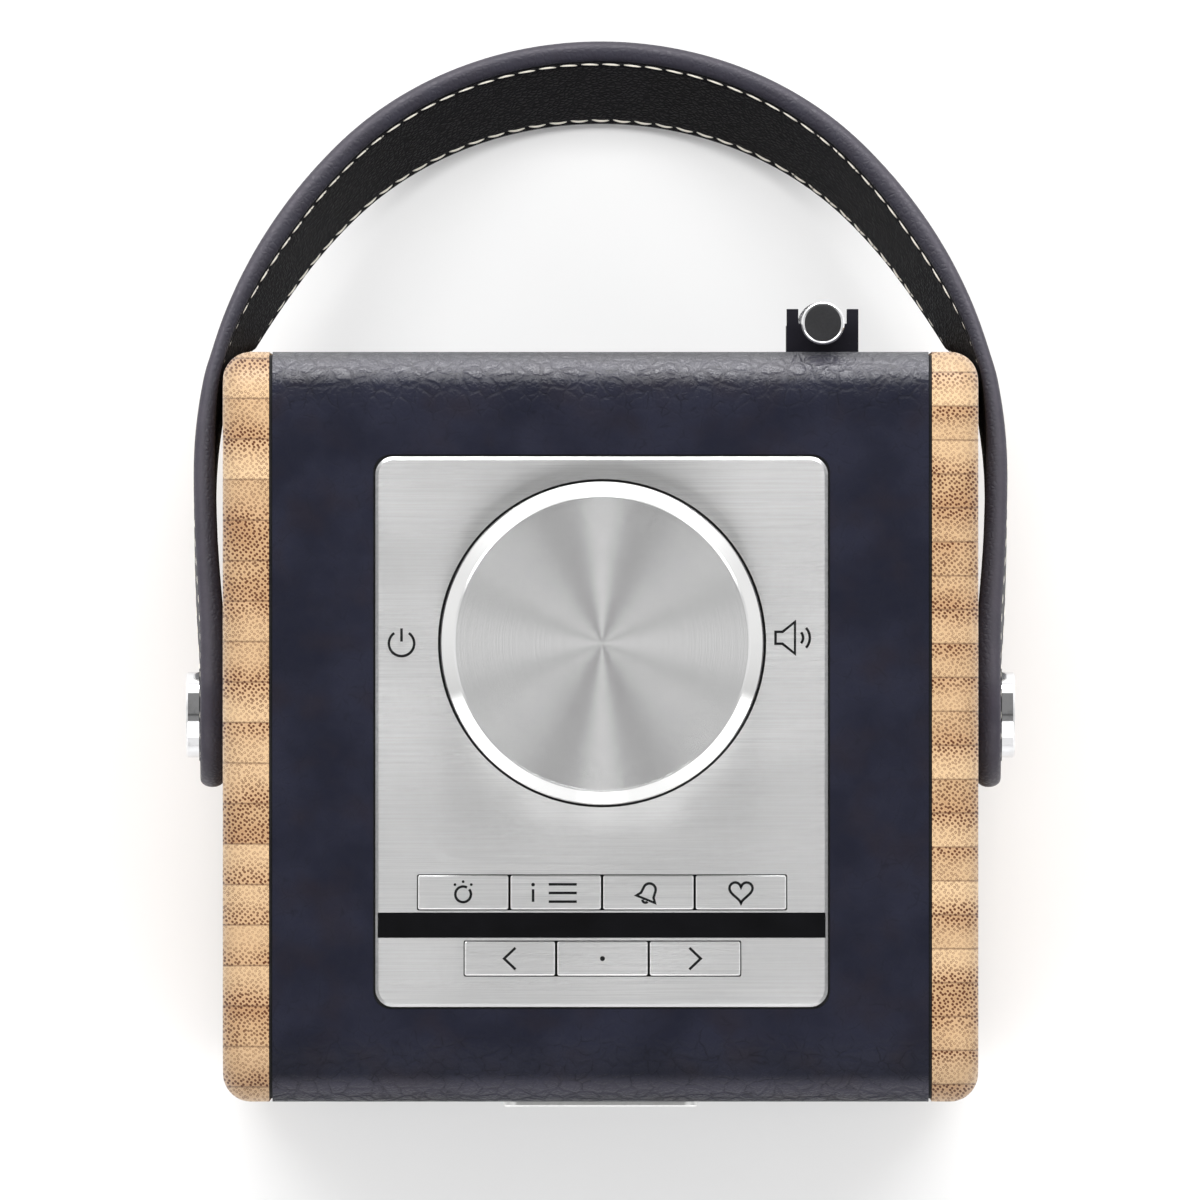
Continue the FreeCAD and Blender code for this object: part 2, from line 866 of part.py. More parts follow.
def make_speaker():
    flange = cell("speaker_flange_thickness")
    outer = cell("speaker_flange_radius")
    rim = cell("cone_radius") + cell("surround_width")
    wall = cell("basket_wall")
    play = cell("basket_play")
    lift = cell("deck_gap")
    back = cell("basket_depth")
    plate = cell("magnet_plate")
    neck = cell("magnet_radius") - plate
    basket = turned_on_speaker_axis(
        "speaker_basket",
        [
            (rim, lift),
            (outer, lift),
            (outer, flange),
            (rim + wall + play, flange),
            (neck + wall, back - wall),
            (cell("magnet_radius"), back - wall),
            (cell("magnet_radius"), back),
            (cell("cone_neck") + wall + play, back),
            (cell("cone_neck") + wall + play, back - wall),
            (neck, back - wall),
            (rim + play, flange),
            (rim, flange - 2 * play),
        ],
    )
    holes = new_sketch(basket, "XZ_Plane", -baffle_rear())
    for x, z in speaker_screw_places():
        draw_circle(holes, x, z, cell("screw_radius") + cell("screw_clearance"))
    pocket(basket, holes, 4 * flange, symmetric=True)
    keep(basket)
    magnet = turned_on_speaker_axis(
        "speaker_magnet",
        [
            (cell("cone_neck") + cell("voice_gap"), back),
            (cell("magnet_radius"), back),
            (cell("magnet_radius"), back + cell("magnet_depth")),
            (0, back + cell("magnet_depth")),
            (0, back + cell("magnet_depth") - plate),
            (cell("cone_neck") + cell("voice_gap"), back + cell("magnet_depth") - plate),
        ],
    )
    keep(magnet)
    thin = cell("cone_wall")
    start = flange - 1.2
    end = start + cell("cone_depth")
    cone = turned_on_speaker_axis(
        "speaker_cone",
        [
            (cell("cone_radius"), start),
            (cell("cone_radius"), start + thin),
            (cell("cone_neck") + thin, end),
            (cell("cone_neck") + thin, back + 6),
            (cell("cone_neck"), back + 6),
            (cell("cone_neck"), end - thin),
        ],
    )
    keep(cone)
    cap = turned_on_speaker_axis(
        "dust_cap",
        [
            (0, end - 7),
            (cell("dust_cap_radius") / 2, end - 6),
            (cell("cone_neck") - 0.2, end - 2.6),
            (cell("cone_neck") - 0.2, end - 2.0),
            (cell("dust_cap_radius") / 2, end - 5.4),
            (0, end - 6.4),
        ],
    )
    keep(cap)
    surround = turned_on_speaker_axis(
        "speaker_surround",
        [
            (cell("cone_radius") + 0.1, start + 0.1),
            (cell("cone_radius") + cell("surround_width") / 2, start - 1.6),
            (rim - 0.1, start + 0.1),
            (rim - 0.1, start + 0.7),
            (cell("cone_radius") + cell("surround_width") / 2, start - 1),
            (cell("cone_radius") + 0.1, start + 0.7),
        ],
    )
    keep(surround)


def make_speaker_screws():
    head_rear = baffle_rear() + cell("speaker_flange_thickness") + cell("screw_head_height")
    length = cell("short_screw_length")
    pieces = []
    for number, (x, z) in enumerate(speaker_screw_places()):
        pieces.append(
            screw(f"speaker_screw_{number}", "y", x, head_rear, z, length, outward=-1)
        )
    return pieces


def make_badge():
    """A plain raised bar on the leather above the grille."""
    half_x = cell("badge_width") / 2
    half_z = cell("badge_height") / 2
    front = -cabinet_rear() - cell("badge_depth")
    body = new_body("front_badge")
    sketch = new_sketch(body, "XZ_Plane", cabinet_rear())
    centre = cell("badge_centre")
    draw_rounded(sketch, -half_x, half_x, centre - half_z, centre + half_z, half_z - ROUND_END)
    pad(body, sketch, cell("badge_depth"))
    rim = edges_where(body.Shape, lambda point: abs(point.y - front.value) < TOUCH)
    dress(body, "Chamfer", rim, cell("badge_chamfer"))
    keep(body)


# ---------------------------------------------------------------- control plate


BUTTONS = {
    "button_timer": ("upper", -1.5),
    "button_menu": ("upper", -0.5),
    "button_alarm": ("upper", 0.5),
    "button_favourite": ("upper", 1.5),
    "button_previous": ("lower", -1),
    "button_select": ("lower", 0),
    "button_next": ("lower", 1),
}


def button_centre(name):
    row, step = BUTTONS[name]
    x = cell(f"{row}_row_x") + step * cell("button_pitch")
    return x, cell(f"{row}_row_y")


def row_half_width(row):
    count = sum(1 for place_in in BUTTONS.values() if place_in[0] == row)
    return count * cell("button_pitch") / 2


def plate_outline(sketch, margin, corner):
    half_x = cell("plate_width") / 2 - margin
    half_y = cell("plate_depth") / 2 - margin
    draw_rounded(
        sketch,
        cell("plate_x") - half_x,
        cell("plate_x") + half_x,
        cell("plate_y") - half_y,
        cell("plate_y") + half_y,
        corner,
    )


def make_control_plate():
    """A brushed plate with a bevelled rim, pierced for the dial, the buttons and the display."""
    body = new_body("control_plate")
    sketch = new_sketch(body, "XY_Plane", plate_top() - cell("plate_thickness"))
    plate_outline(sketch, 0, cell("plate_corner"))
    pad(body, sketch, cell("plate_thickness"))
    top = plate_top().value
    rim = edges_where(body.Shape, lambda point: abs(point.z - top) < TOUCH)
    dress(body, "Chamfer", rim, cell("plate_bevel"))
    holes = new_sketch(body, "XY_Plane", plate_top())
    draw_circle(holes, cell("dial_x"), cell("dial_y"), cell("dial_hole_radius"))
    for row in ("upper", "lower"):
        half = row_half_width(row)
        x = cell(f"{row}_row_x")
        y = cell(f"{row}_row_y")
        half_y = cell("button_depth") / 2 + cell("button_edge")
        draw_rounded(holes, x - half, x + half, y - half_y, y + half_y, cell("button_corner"))
    pocket(body, holes, cell("plate_thickness"))
    half_x = cell("display_width") / 2
    half_y = cell("display_depth") / 2
    x = cell("plate_x")
    slit = new_sketch(body, "XY_Plane", plate_top())
    y = cell("window_y")
    draw_rectangle(slit, x - half_x, x + half_x, y - half_y, y + half_y)
    pocket(body, slit, cell("plate_thickness"))
    groove = new_sketch(body, "XY_Plane", plate_top())
    half_x = cell("window_width") / 2
    half_y = cell("window_depth") / 2
    draw_rectangle(groove, x - half_x, x + half_x, y - half_y, y + half_y)
    pocket(body, groove, cell("window_thickness"))
    keep(body)


def make_display_window():
    x = cell("plate_x")
    y = cell("window_y")
    half_x = cell("window_width") / 2 - cell("window_fit")
    half_y = cell("window_depth") / 2 - cell("window_fit")
    top = plate_top() - cell("seat_gap")
    low = plate_top() - cell("window_thickness")
    window = block("display_window", x - half_x, x + half_x, y - half_y, y + half_y, low, top)
    keep(window)
    half_x = cell("display_width") / 2 - cell("display_play")
    half_y = cell("display_depth") / 2 - cell("display_play")
    glass = block(
        "display_panel", x - half_x, x + half_x, y - half_y, y + half_y,
        board_top(), low - cell("seat_gap"),
    )
    keep(glass, "display_module")


def make_control_deck():
    """The moulded deck under the plate, which guides the button stems."""
    body = new_body("control_deck")
    sketch = new_sketch(body, "XY_Plane", deck_top() - cell("deck_thickness"))
    plate_outline(sketch, cell("ledge") + cell("fit_gap"), cell("plate_corner"))
    pad(body, sketch, cell("deck_thickness"))
    holes = new_sketch(body, "XY_Plane", deck_top())
    draw_circle(holes, cell("dial_x"), cell("dial_y"), cell("encoder_neck_radius") + cell("plate_gap"))
    for name in BUTTONS:
        x, y = button_centre(name)
        draw_circle(holes, x, y, cell("button_stem_radius") + cell("stem_fit"))
    pocket(body, holes, cell("deck_thickness"))
    slit = new_sketch(body, "XY_Plane", deck_top())
    half_x = cell("display_width") / 2 + cell("display_play")
    half_y = cell("display_depth") / 2 + cell("display_play")
    x = cell("plate_x")
    y = cell("window_y")
    draw_rectangle(slit, x - half_x, x + half_x, y - half_y, y + half_y)
    pocket(body, slit, cell("deck_thickness"))
    keep(body)


def make_buttons():
    top = plate_top() + cell("button_proud")
    low = top - cell("button_cap_height")
    stem_bottom = board_top() + cell("switch_height") + cell("button_travel") + cell("stem_gap")
    for name in BUTTONS:
        x, y = button_centre(name)
        body = new_body(name)
        sketch = new_sketch(body, "XY_Plane", low)
        half_x = (cell("button_pitch") - cell("button_gap")) / 2
        half_y = cell("button_depth") / 2 - cell("window_fit")
        corner = cell("button_corner")
        draw_rounded(sketch, x - half_x, x + half_x, y - half_y, y + half_y, corner)
        pad(body, sketch, cell("button_cap_height"))
        height = top.value
        rim = edges_where(body.Shape, lambda point: abs(point.z - height) < TOUCH)
        dress(body, "Fillet", rim, cell("button_rounding"))
        stem = new_sketch(body, "XY_Plane", low)
        draw_circle(stem, x, y, cell("button_stem_radius"))
        pad(body, stem, low - stem_bottom, reverse=True)
        keep(body)


def make_control_board():
    """The circuit board under the deck, with one switch below each button."""
    half_x = cell("board_width") / 2
    half_y = cell("board_depth") / 2
    board = block(
        "control_board_sheet", cell("plate_x") - half_x, cell("plate_x") + half_x,
        cell("plate_y") - half_y, cell("plate_y") + half_y,
        board_top() - cell("board_thickness"), board_top(),
    )
    switches = []
    half_x = cell("switch_width") / 2
    half_y = cell("switch_depth") / 2
    plunger = cell("switch_plunger")
    body_top = board_top() + cell("switch_height") - plunger
    for name in BUTTONS:
        x, y = button_centre(name)
        body = block(
            f"{name}_switch_body", x - half_x, x + half_x, y - half_y, y + half_y,
            board_top(), body_top,
        )
        top = rod(
            f"{name}_switch_top", "z", x, y, body_top, cell("button_stem_radius"), plunger
        )
        switches.append(fuse(f"{name}_switch", body, top))
    holes = []
    for number, (x, y) in enumerate(board_screw_places()):
        holes.append(
            rod(
                f"board_hole_{number}", "z", x, y, board_top() - cell("board_thickness"),
                cell("board_screw_radius") + cell("screw_clearance"), cell("board_thickness"),
            )
        )
    keep(cut("control_board", fuse("loaded_board", board, *switches), *holes))


def board_screw_places():
    """The four corners where the control board hangs from the deck."""
    for side in (-1, 1):
        for end in (-1, 1):
            x = cell("plate_x") + side * cell("board_screw_x")
            yield x, cell("plate_y") + end * cell("board_screw_y")


def make_board_posts():
    """Four posts that hang the control board from the deck, each with its screw."""
    posts = []
    screws = []
    low = board_top()
    screw_radius = cell("board_screw_radius")
    length = cell("short_screw_length")
    head_height = cell("board_screw_head")
    for number, (x, y) in enumerate(board_screw_places()):
        posts.append(
            cut(
                f"board_post_{number}",
                rod(
                    f"board_post_{number}_solid", "z", x, y, low,
                    cell("standoff_radius"), deck_top() - cell("deck_thickness") - low,
                ),
                rod(f"board_post_{number}_hole", "z", x, y, low, screw_radius, length),
            )
        )
        under = low - cell("board_thickness")
        head = rod(
            f"board_screw_{number}_head", "z", x, y, under - head_height,
            2 * screw_radius, head_height,
        )
        shank = rod(f"board_screw_{number}_shank", "z", x, y, under, screw_radius, length)
        screws.append(fuse(f"board_screw_{number}", head, shank))
    return posts, screws


def make_encoder():
    x, y = cell("dial_x"), cell("dial_y")
    half = cell("encoder_width") / 2
    low = board_top()
    top = low + cell("encoder_height")
    case = block("encoder_case", x - half, x + half, y - half, y + half, low, top)
    neck_height = cell("encoder_neck_height")
    neck = rod("encoder_neck", "z", x, y, top, cell("encoder_neck_radius"), neck_height)
    bore = rod(
        "encoder_bore", "z", x, y, low + cell("encoder_floor"),
        cell("rotor_radius") + cell("spindle_fit"), cell("encoder_height") + neck_height,
    )
    keep(cut("encoder_housing", fuse("encoder_solid", case, neck), bore))
    rotor_low = low + cell("encoder_floor") + cell("deck_gap")
    length = cell("rotor_length")
    rotor = rod("rotor_solid", "z", x, y, rotor_low, cell("rotor_radius"), length)
    socket_low = rotor_low + cell("rotor_floor")
    socket = rod(
        "rotor_bore", "z", x, y, socket_low,
        cell("spindle_radius") + cell("spindle_fit"), length,
    )
    keep(cut("encoder_rotor", rotor, socket))
    spindle_low = socket_low + cell("dial_press") + cell("stem_gap")
    spindle_top = plate_top() + cell("dial_height") - cell("dial_wall")
    keep(
        rod(
            "dial_spindle", "z", x, y, spindle_low,
            cell("spindle_radius"), spindle_top - spindle_low,
        )
    )
    hub_low = plate_top() + cell("hub_lift")
    hub = rod(
        "hub_solid", "z", x, y, hub_low, cell("hub_radius"), spindle_top - hub_low
    )
    hole = rod("hub_bore", "z", x, y, hub_low, cell("spindle_radius"), spindle_top - hub_low)
    keep(cut("dial_hub", hub, hole))


def make_dial():
    """A hollow spun dial with a polished bevel, turned about its own axis."""
    body = new_body("volume_dial")
    radius = cell("dial_radius")
    low = plate_top() - cell("dial_sink")
    top = plate_top() + cell("dial_height")
    face = radius - cell("dial_bevel")
    inner = radius - cell("dial_wall")
    sketch = new_sketch(body, "XZ_Plane")
    draw_outline(
        sketch,
        [
            (0, top - cell("dial_dish") - 0.1),
            (face / 2, top - cell("dial_dish")),
            (face - 0.4, top - cell("dial_dish")),
            (face, top),
            (radius - 0.2, top - cell("dial_bevel_drop")),
            (radius, top - cell("dial_bevel_drop") - 0.3),
            (radius, low + 0.3),
            (radius - 0.3, low),
            (inner, low),
            (inner, top - cell("dial_wall")),
            (0, top - cell("dial_wall")),
        ],
    )
    revolve(body, sketch)
    place(body, cell("dial_x"), cell("dial_y"), 0)
    keep(body)


# ---------------------------------------------------------------- rear


def rear_face():
    return shell_rear() + cell("rear_thickness")


def socket_places():
    """Each rear socket with its height and the radius of its bore."""
    return (
        ("dc_socket", cell("dc_height"), cell("dc_radius")),
        ("aux_socket", cell("aux_height"), cell("jack_radius")),
        ("headphone_socket", cell("phones_height"), cell("jack_radius")),
    )


def rear_screw_places():
    for side in (-1, 1):
        for end in (-1, 1):
            x = side * (cell("rear_width") / 2 - cell("rear_screw_inset"))
            yield x, cell("rear_centre") + end * cell("rear_screw_rise")


def make_rear_panel():
    """The moulded service panel: sockets, battery opening and screw holes."""
    body = new_body("rear_panel")
    face = shell_rear()
    sketch = new_sketch(body, "XZ_Plane", -face)
    half_x = cell("rear_width") / 2
    half_z = cell("rear_height") / 2
    centre = cell("rear_centre")
    draw_rounded(sketch, -half_x, half_x, centre - half_z, centre + half_z, cell("rear_corner"))
    pad(body, sketch, cell("rear_thickness"), reverse=True)
    outer = rear_face().value
    rim = edges_where(body.Shape, lambda point: abs(point.y - outer) < TOUCH)
    dress(body, "Fillet", rim, cell("rear_rounding"))
    holes = new_sketch(body, "XZ_Plane", -rear_face())
    for _, height, _ in socket_places():
        draw_circle(holes, cell("socket_x"), height, cell("socket_radius") + cell("seat_gap"))
    for x, z in rear_screw_places():
        draw_circle(holes, x, z, cell("screw_radius") + cell("screw_clearance"))
    pocket(body, holes, 2 * cell("rear_thickness"), symmetric=True)
    window = new_sketch(body, "XZ_Plane", -rear_face())
    half_x = cell("bay_width") / 2
    half_z = cell("bay_opening") / 2
    x = cell("bay_x")
    z = cell("bay_height")
    corner = cell("bay_corner")
    draw_rounded(window, x - half_x, x + half_x, z - half_z, z + half_z, corner)
    pocket(body, window, 2 * cell("rear_thickness"), symmetric=True)
    sinks = new_sketch(body, "XZ_Plane", -rear_face())
    for x, z in rear_screw_places():
        draw_circle(sinks, x, z, cell("screw_head_radius") + cell("screw_clearance"))
    pocket(body, sinks, cell("low_head_height") + cell("low_head_play"), reverse=True)
    keep(body)


def make_sockets():
    """The power inlet, and the pair of 3.5 mm jacks that share one node."""
    sockets = []
    for name, height, bore in socket_places():
        x = cell("socket_x")
        start = rear_face() - cell("socket_length")
        barrel = rod(
            f"{name}_barrel", "y", x, start, height, cell("socket_radius"), cell("socket_length")
        )
        hole = rod(
            f"{name}_bore", "y", x, start + cell("socket_floor"), height, bore,
            cell("socket_length"),
        )
        sockets.append(cut(name, barrel, hole))
    keep(sockets[0])
    keep(group("audio_jacks", sockets[1:]))


def make_battery_bay():
    """An open moulded box behind the battery door, with the pack and its contacts."""
    wall = cell("bay_wall")
    half_x = cell("bay_width") / 2 - cell("bay_inset")
    half_z = cell("bay_opening") / 2 - cell("bay_inset")
    x = cell("bay_x")
    z = cell("bay_height")
    rear = shell_rear() - cell("deck_gap")
    front = rear - cell("bay_depth")
    solid = block(
        "bay_solid", x - half_x - wall, x + half_x + wall, front - wall, rear,
        z - half_z - wall, z + half_z + wall,
    )
    hollow = block(
        "bay_hollow", x - half_x, x + half_x, front, rear + wall, z - half_z, z + half_z
    )
    keep(cut("battery_bay", solid, hollow))
    play = cell("pack_play")
    gap = cell("seat_gap")
    contact_rear = front + gap + cell("contact_depth")
    pack_front = contact_rear + gap
    pack = block(
        "pack_block", x - half_x + play, x + half_x - play,
        pack_front, pack_front + cell("pack_depth"),
        z - half_z + play, z + half_z - play,
    )
    rounded = DOC.addObject("Part::Fillet", "battery_pack")
    rounded.Base = pack
    DOC.recompute()
    along = edges_where(
        pack.Shape,
        lambda point: abs(abs(point.x - x.value) - half_x.value + play.value) < TOUCH
        and abs(abs(point.z - z.value) - half_z.value + play.value) < TOUCH,
    )
    rounding = SIZES["pack_rounding"]
    rounded.Edges = [(number, rounding, rounding) for number in along]
    keep(rounded)
    springs = []
    half_x = cell("contact_width") / 2
    half_z = cell("contact_height") / 2
    for side in (-1, 1):
        centre = x + side * cell("contact_x")
        springs.append(
            block(
                f"contact_{side + 1}", centre - half_x, centre + half_x,
                front + gap, contact_rear, z - half_z, z + half_z,
            )
        )
    keep(group("battery_contacts", springs))


def make_battery_door():
    body = new_body("battery_door")
    sketch = new_sketch(body, "XZ_Plane", -shell_rear())
    half_x = cell("bay_width") / 2 - cell("door_gap")
    half_z = cell("bay_opening") / 2 - cell("door_gap")
    x = cell("bay_x")
    z = cell("bay_height")
    corner = cell("bay_corner") - cell("door_gap")
    draw_rounded(sketch, x - half_x, x + half_x, z - half_z, z + half_z, corner)
    pad(body, sketch, cell("rear_thickness"), reverse=True)
    scoop = new_sketch(body, "XZ_Plane", -rear_face())
    half_scoop = cell("scoop_width") / 2
    tall = cell("scoop_height")
    top = z + half_z - cell("scoop_inset")
    draw_rounded(scoop, x - half_scoop, x + half_scoop, top - tall, top, tall / 2 - ROUND_END)
    pocket(body, scoop, cell("scoop_depth"), reverse=True)
    lip = new_sketch(body, "XZ_Plane", -shell_rear())
    inset = cell("door_lip_inset")
    draw_rectangle(
        lip, x - half_x + inset, x + half_x - inset, z - half_z + inset, z + half_z - inset
    )
    draw_rectangle(
        lip, x - half_x + 2 * inset, x + half_x - 2 * inset,
        z - half_z + 2 * inset, z + half_z - 2 * inset,
    )
    pad(body, lip, cell("door_lip_depth"))
    keep(body)


# Each chip's middle from the board's middle, across and up, then its width and height.
CHIPS = {
    "processor": (-22, 8, 12, 12),
    "memory": (-20, -12, 8, 8),
    "regulator": (2, -14, 10, 6),
    "amplifier": (26, -14, 8, 10),
}


def make_main_board():
    """The main circuit board behind the rear panel, with its chips and tuner can, and its posts."""
    half_x = cell("main_board_width") / 2
    half_z = cell("main_board_height") / 2
    x = cell("bay_x")
    y = cell("main_board_y")
    z = cell("main_board_centre")
    board = block(
        "main_board_sheet", x - half_x, x + half_x, y, y + cell("board_thickness"),
        z - half_z, z + half_z,
    )
    chips = []
    for name, (dx, dz, width, height) in CHIPS.items():
        chips.append(
            block(
                name, x + dx - width / 2, x + dx + width / 2, y - cell("chip_height"), y,
                z + dz - height / 2, z + dz + height / 2,
            )
        )
    keep(fuse("main_board", board, *chips))
    left = x + cell("tuner_left")
    low = z + cell("tuner_left")
    can = block(
        "tuner_can", left, left + cell("tuner_width"), y - cell("tuner_depth"), y,
        low, low + cell("tuner_height"),
    )
    keep(can, "tuner_module")
    posts = []
    inset = cell("standoff_inset")
    for number, (side, end) in enumerate(((-1, -1), (-1, 1), (1, -1), (1, 1))):
        post_y = y + cell("board_thickness")
        posts.append(
            rod(
                f"rear_post_{number}", "y", x + side * (half_x - inset), post_y,
                z + end * (half_z - inset), cell("standoff_radius"), shell_rear() - post_y,
            )
        )
    return posts


def make_rear_screws():
    """Low-head screws, sunk just below the rear panel's face."""
    pieces = []
    head = rear_face() - cell("low_head_play") / 2
    for number, (x, z) in enumerate(rear_screw_places()):
        pieces.append(
            screw(
                f"rear_screw_{number}", "y", x, head, z, cell("short_screw_length"),
                outward=-1, head_height=cell("low_head_height"),
            )
        )
    return pieces


# ---------------------------------------------------------------- antenna


def make_antenna_mount():
    """The shelf that carries the antenna and the clip that holds it upright."""
    x, y = cell("antenna_x"), cell("antenna_y")
    half = cell("shelf_width") / 2
    low = cell("shelf_bottom")
    height = cell("shelf_top") - low
    slab = block("shelf_slab", x - half, x + half, rear_face(), y, low, low + height)
    nose = rod("shelf_nose", "z", x, y, low, cell("shelf_nose_radius"), height)
    hole = rod(
        "shelf_hole", "z", x, y, low, cell("swivel_pin_radius") + cell("pin_fit"), height
    )
    behind = block("shelf_trim", x - half, x + half, y - 2 * half, rear_face(), low, low + height)
    keep(cut("antenna_shelf", fuse("shelf_solid", slab, nose), hole, behind))
    half = cell("clip_width") / 2
    low = cell("clip_bottom")
    height = cell("clip_top") - low
    outer = block(
        "clip_solid", x - half, x + half, rear_face(), rear_face() + cell("clip_depth"),
        low, low + height,
    )
    radius = cell("clip_slot_radius")
    mouth_half = cell("clip_mouth_half")
    slot = rod("clip_round", "z", x, y, low, radius, height)
    mouth = block(
        "clip_mouth", x - mouth_half, x + mouth_half, y, y + cell("clip_depth"),
        low, low + height,
    )
    keep(cut("antenna_clip", outer, slot, mouth))


def make_antenna_swivel():
    """A pin, a disc and a fork that turn in the shelf, inside one slim cylinder."""
    x, y = cell("antenna_x"), cell("antenna_y")
    top = cell("shelf_top")
    low = cell("shelf_bottom")
    elbow = cell("elbow_height")
    radius = cell("swivel_radius")
    pin_radius = cell("swivel_pin_radius")
    lift = cell("seat_gap")
    ring_height = cell("swivel_ring_height")
    disc_top = top + lift + cell("swivel_disc_height")
    pin = rod("swivel_pin", "z", x, y, low - pin_radius, pin_radius, disc_top - low)
    disc = rod("swivel_disc", "z", x, y, top + lift, radius, cell("swivel_disc_height"))
    clip_ring = rod(
        "swivel_ring", "z", x, y, low - lift - ring_height, 1.5 * pin_radius, ring_height
    )
    fork_top = elbow + cell("elbow_radius")
    blank = rod("fork_blank", "z", x, y, top + lift, radius, fork_top - top - lift)
    gap = cell("tongue_half") + lift
    slot = block(
        "fork_slot", x - gap, x + gap, y - 2 * radius, y + 2 * radius, disc_top, fork_top + lift
    )
    eye = rod("fork_eye", "x", x - 2 * radius, y, elbow, cell("elbow_pin_radius"), 4 * radius)
    fork = cut("fork", blank, slot, eye)
    keep(fuse("antenna_swivel", pin, disc, clip_ring, fork))
    pin_inset = cell("fit_gap")
    keep(
        rod(
            "elbow_pin", "x", x - radius + pin_inset, y, elbow,
            cell("elbow_pin_radius"), 2 * (radius - pin_inset),
        ),
        "antenna_elbow_pin",
    )


def tube_radii():
    """The outer radius of each telescopic section, from the largest down."""
    step = cell("tube_wall") + cell("pin_fit")
    return [cell("tube_radius") - step * number for number in range(4)]


def make_antenna_sections():
    x, y = cell("antenna_x"), cell("antenna_y")
    elbow = cell("elbow_height")
    radii = tube_radii()
    low = cell("tube_bottom")
    half = cell("tongue_half")
    tongue = block(
        "tongue_bar", x - half, x + half, y - cell("elbow_radius"),
        y + cell("elbow_radius"), elbow, low + 1,
    )
    cheek = rod("tongue_eye", "x", x - half, y, elbow, cell("elbow_radius"), 2 * half)
    eye = rod(
        "tongue_hole", "x", x - 2 * half, y, elbow,
        cell("elbow_pin_radius") + cell("pin_fit"), 4 * half,
    )
    tube = rod("tube_solid", "z", x, y, low, radii[0], cell("tube_top") - low)
    bore = rod(
        "tube_bore", "z", x, y, low + cell("tube_floor"),
        radii[0] - cell("tube_wall"), cell("tube_top") - low,
    )
    base = cut("tongue", fuse("tongue_solid", tongue, cheek), eye)
    keep(cut("antenna_tube", fuse("antenna_tube_solid", base, tube), bore))
    names = ("antenna_section_two", "antenna_section_three")
    for number, name in enumerate(names, start=1):
        start = low + cell("tube_floor") * (number + 1)
        end = cell("tube_top") + cell("rim_step") * number
        solid = rod(f"{name}_solid", "z", x, y, start, radii[number], end - start)
        hollow = rod(
            f"{name}_hollow", "z", x, y, start + 1,
            radii[number] - cell("tube_wall"), end - start,
        )
        keep(cut(name, solid, hollow))
    start = low + cell("rod_start")
    end = cell("tube_top") + cell("rim_step") * 3
    keep(rod("antenna_rod", "z", x, y, start, radii[3], end - start))
    keep(make_antenna_tip(end))


def make_antenna_tip(low):
    body = new_body("antenna_tip")
    sketch = new_sketch(body, "XY_Plane", low)
    draw_circle(sketch, 0, 0, cell("tip_radius"))
    pad(body, sketch, cell("tip_length"))
    top = (low + cell("tip_length")).value
    ends = edges_where(
        body.Shape, lambda point: abs(point.z - top) < TOUCH or abs(point.z - low.value) < TOUCH
    )
    dress(body, "Fillet", ends, cell("tip_rounding"))
    place(body, cell("antenna_x"), cell("antenna_y"), 0)
    return body


# ---------------------------------------------------------------- handle


def strap_layer(label, depth, thickness):
    """One layer of the strap: a long U in the strap's own plane, as wide as the strap."""
    depth = as_size(depth)
    body = new_body(label)
    sketch = new_sketch(body, "XY_Plane")
    centre = cell("strap_reach") - cell("strap_half_span")
    foot = -cell("strap_foot_end")
    flat = cell("strap_foot_flat")
    arcs = []
    sides = []
    for offset in (depth, depth + thickness):
        radius = cell("strap_half_span") - offset
        foot_half = cell("strap_foot_half") - offset
        circle = Part.Circle(Vector(0, centre.value, 0), Vector(0, 0, 1), radius.value)
        arc = sketch.addGeometry(Part.ArcOfCircle(circle, 0, math.pi))
        pin_point(sketch, arc, 3, 0, centre)
        pin_point(sketch, arc, 1, radius, centre)
        constrain(sketch, "DistanceY", centre, -1, 1, arc, 2)
        arcs.append(arc)
        for side, end in ((1, 1), (-1, 2)):
            corner = Vector(side * radius.value, centre.value, 0)
            knee = Vector(side * foot_half.value, flat.value, 0)
            toe = Vector(side * foot_half.value, foot.value, 0)
            upper = sketch.addGeometry(Part.LineSegment(corner, knee))
            lower = sketch.addGeometry(Part.LineSegment(knee, toe))
            sketch.addConstraint(Sketcher.Constraint("Coincident", arc, end, upper, 1))
            sketch.addConstraint(Sketcher.Constraint("Coincident", upper, 2, lower, 1))
            pin_point(sketch, lower, 1, side * foot_half, flat)
            pin_point(sketch, lower, 2, side * foot_half, foot)
            sides.append(lower)
    for outer, inner in ((sides[0], sides[2]), (sides[1], sides[3])):
        start = sketch.Geometry[outer].EndPoint
        end = sketch.Geometry[inner].EndPoint
        bridge = sketch.addGeometry(Part.LineSegment(start, end))
        sketch.addConstraint(Sketcher.Constraint("Coincident", outer, 2, bridge, 1))
        sketch.addConstraint(Sketcher.Constraint("Coincident", inner, 2, bridge, 2))
    pad(body, sketch, cell("strap_width"), symmetric=True)
    toe = foot.value
    half = SIZES["strap_width"] / 2
    ends = edges_where(
        body.Shape,
        lambda point: abs(point.y - toe) < TOUCH and abs(abs(point.z) - half) < TOUCH,
    )
    dress(body, "Fillet", ends, cell("strap_width") / 2 - cell("seat_gap"))
    hole = new_sketch(body, "YZ_Plane")
    draw_circle(hole, 0, 0, cell("eyelet_radius"))
    pocket(body, hole, 2 * cell("body_width"), symmetric=True)
    hang(body)
    return body


def hang(item):
    """Puts a piece drawn in the strap's plane at the pivot, drooping to the rear."""
    turn = Rotation(Vector(1, 0, 0), -SIZES["droop_angle"])
    item.Placement = FreeCAD.Placement(Vector(), turn)
    bind(item, "Placement.Rotation.Angle", -cell("droop_angle"))
    place(item, 0, cell("pivot_y"), cell("pivot_height"))


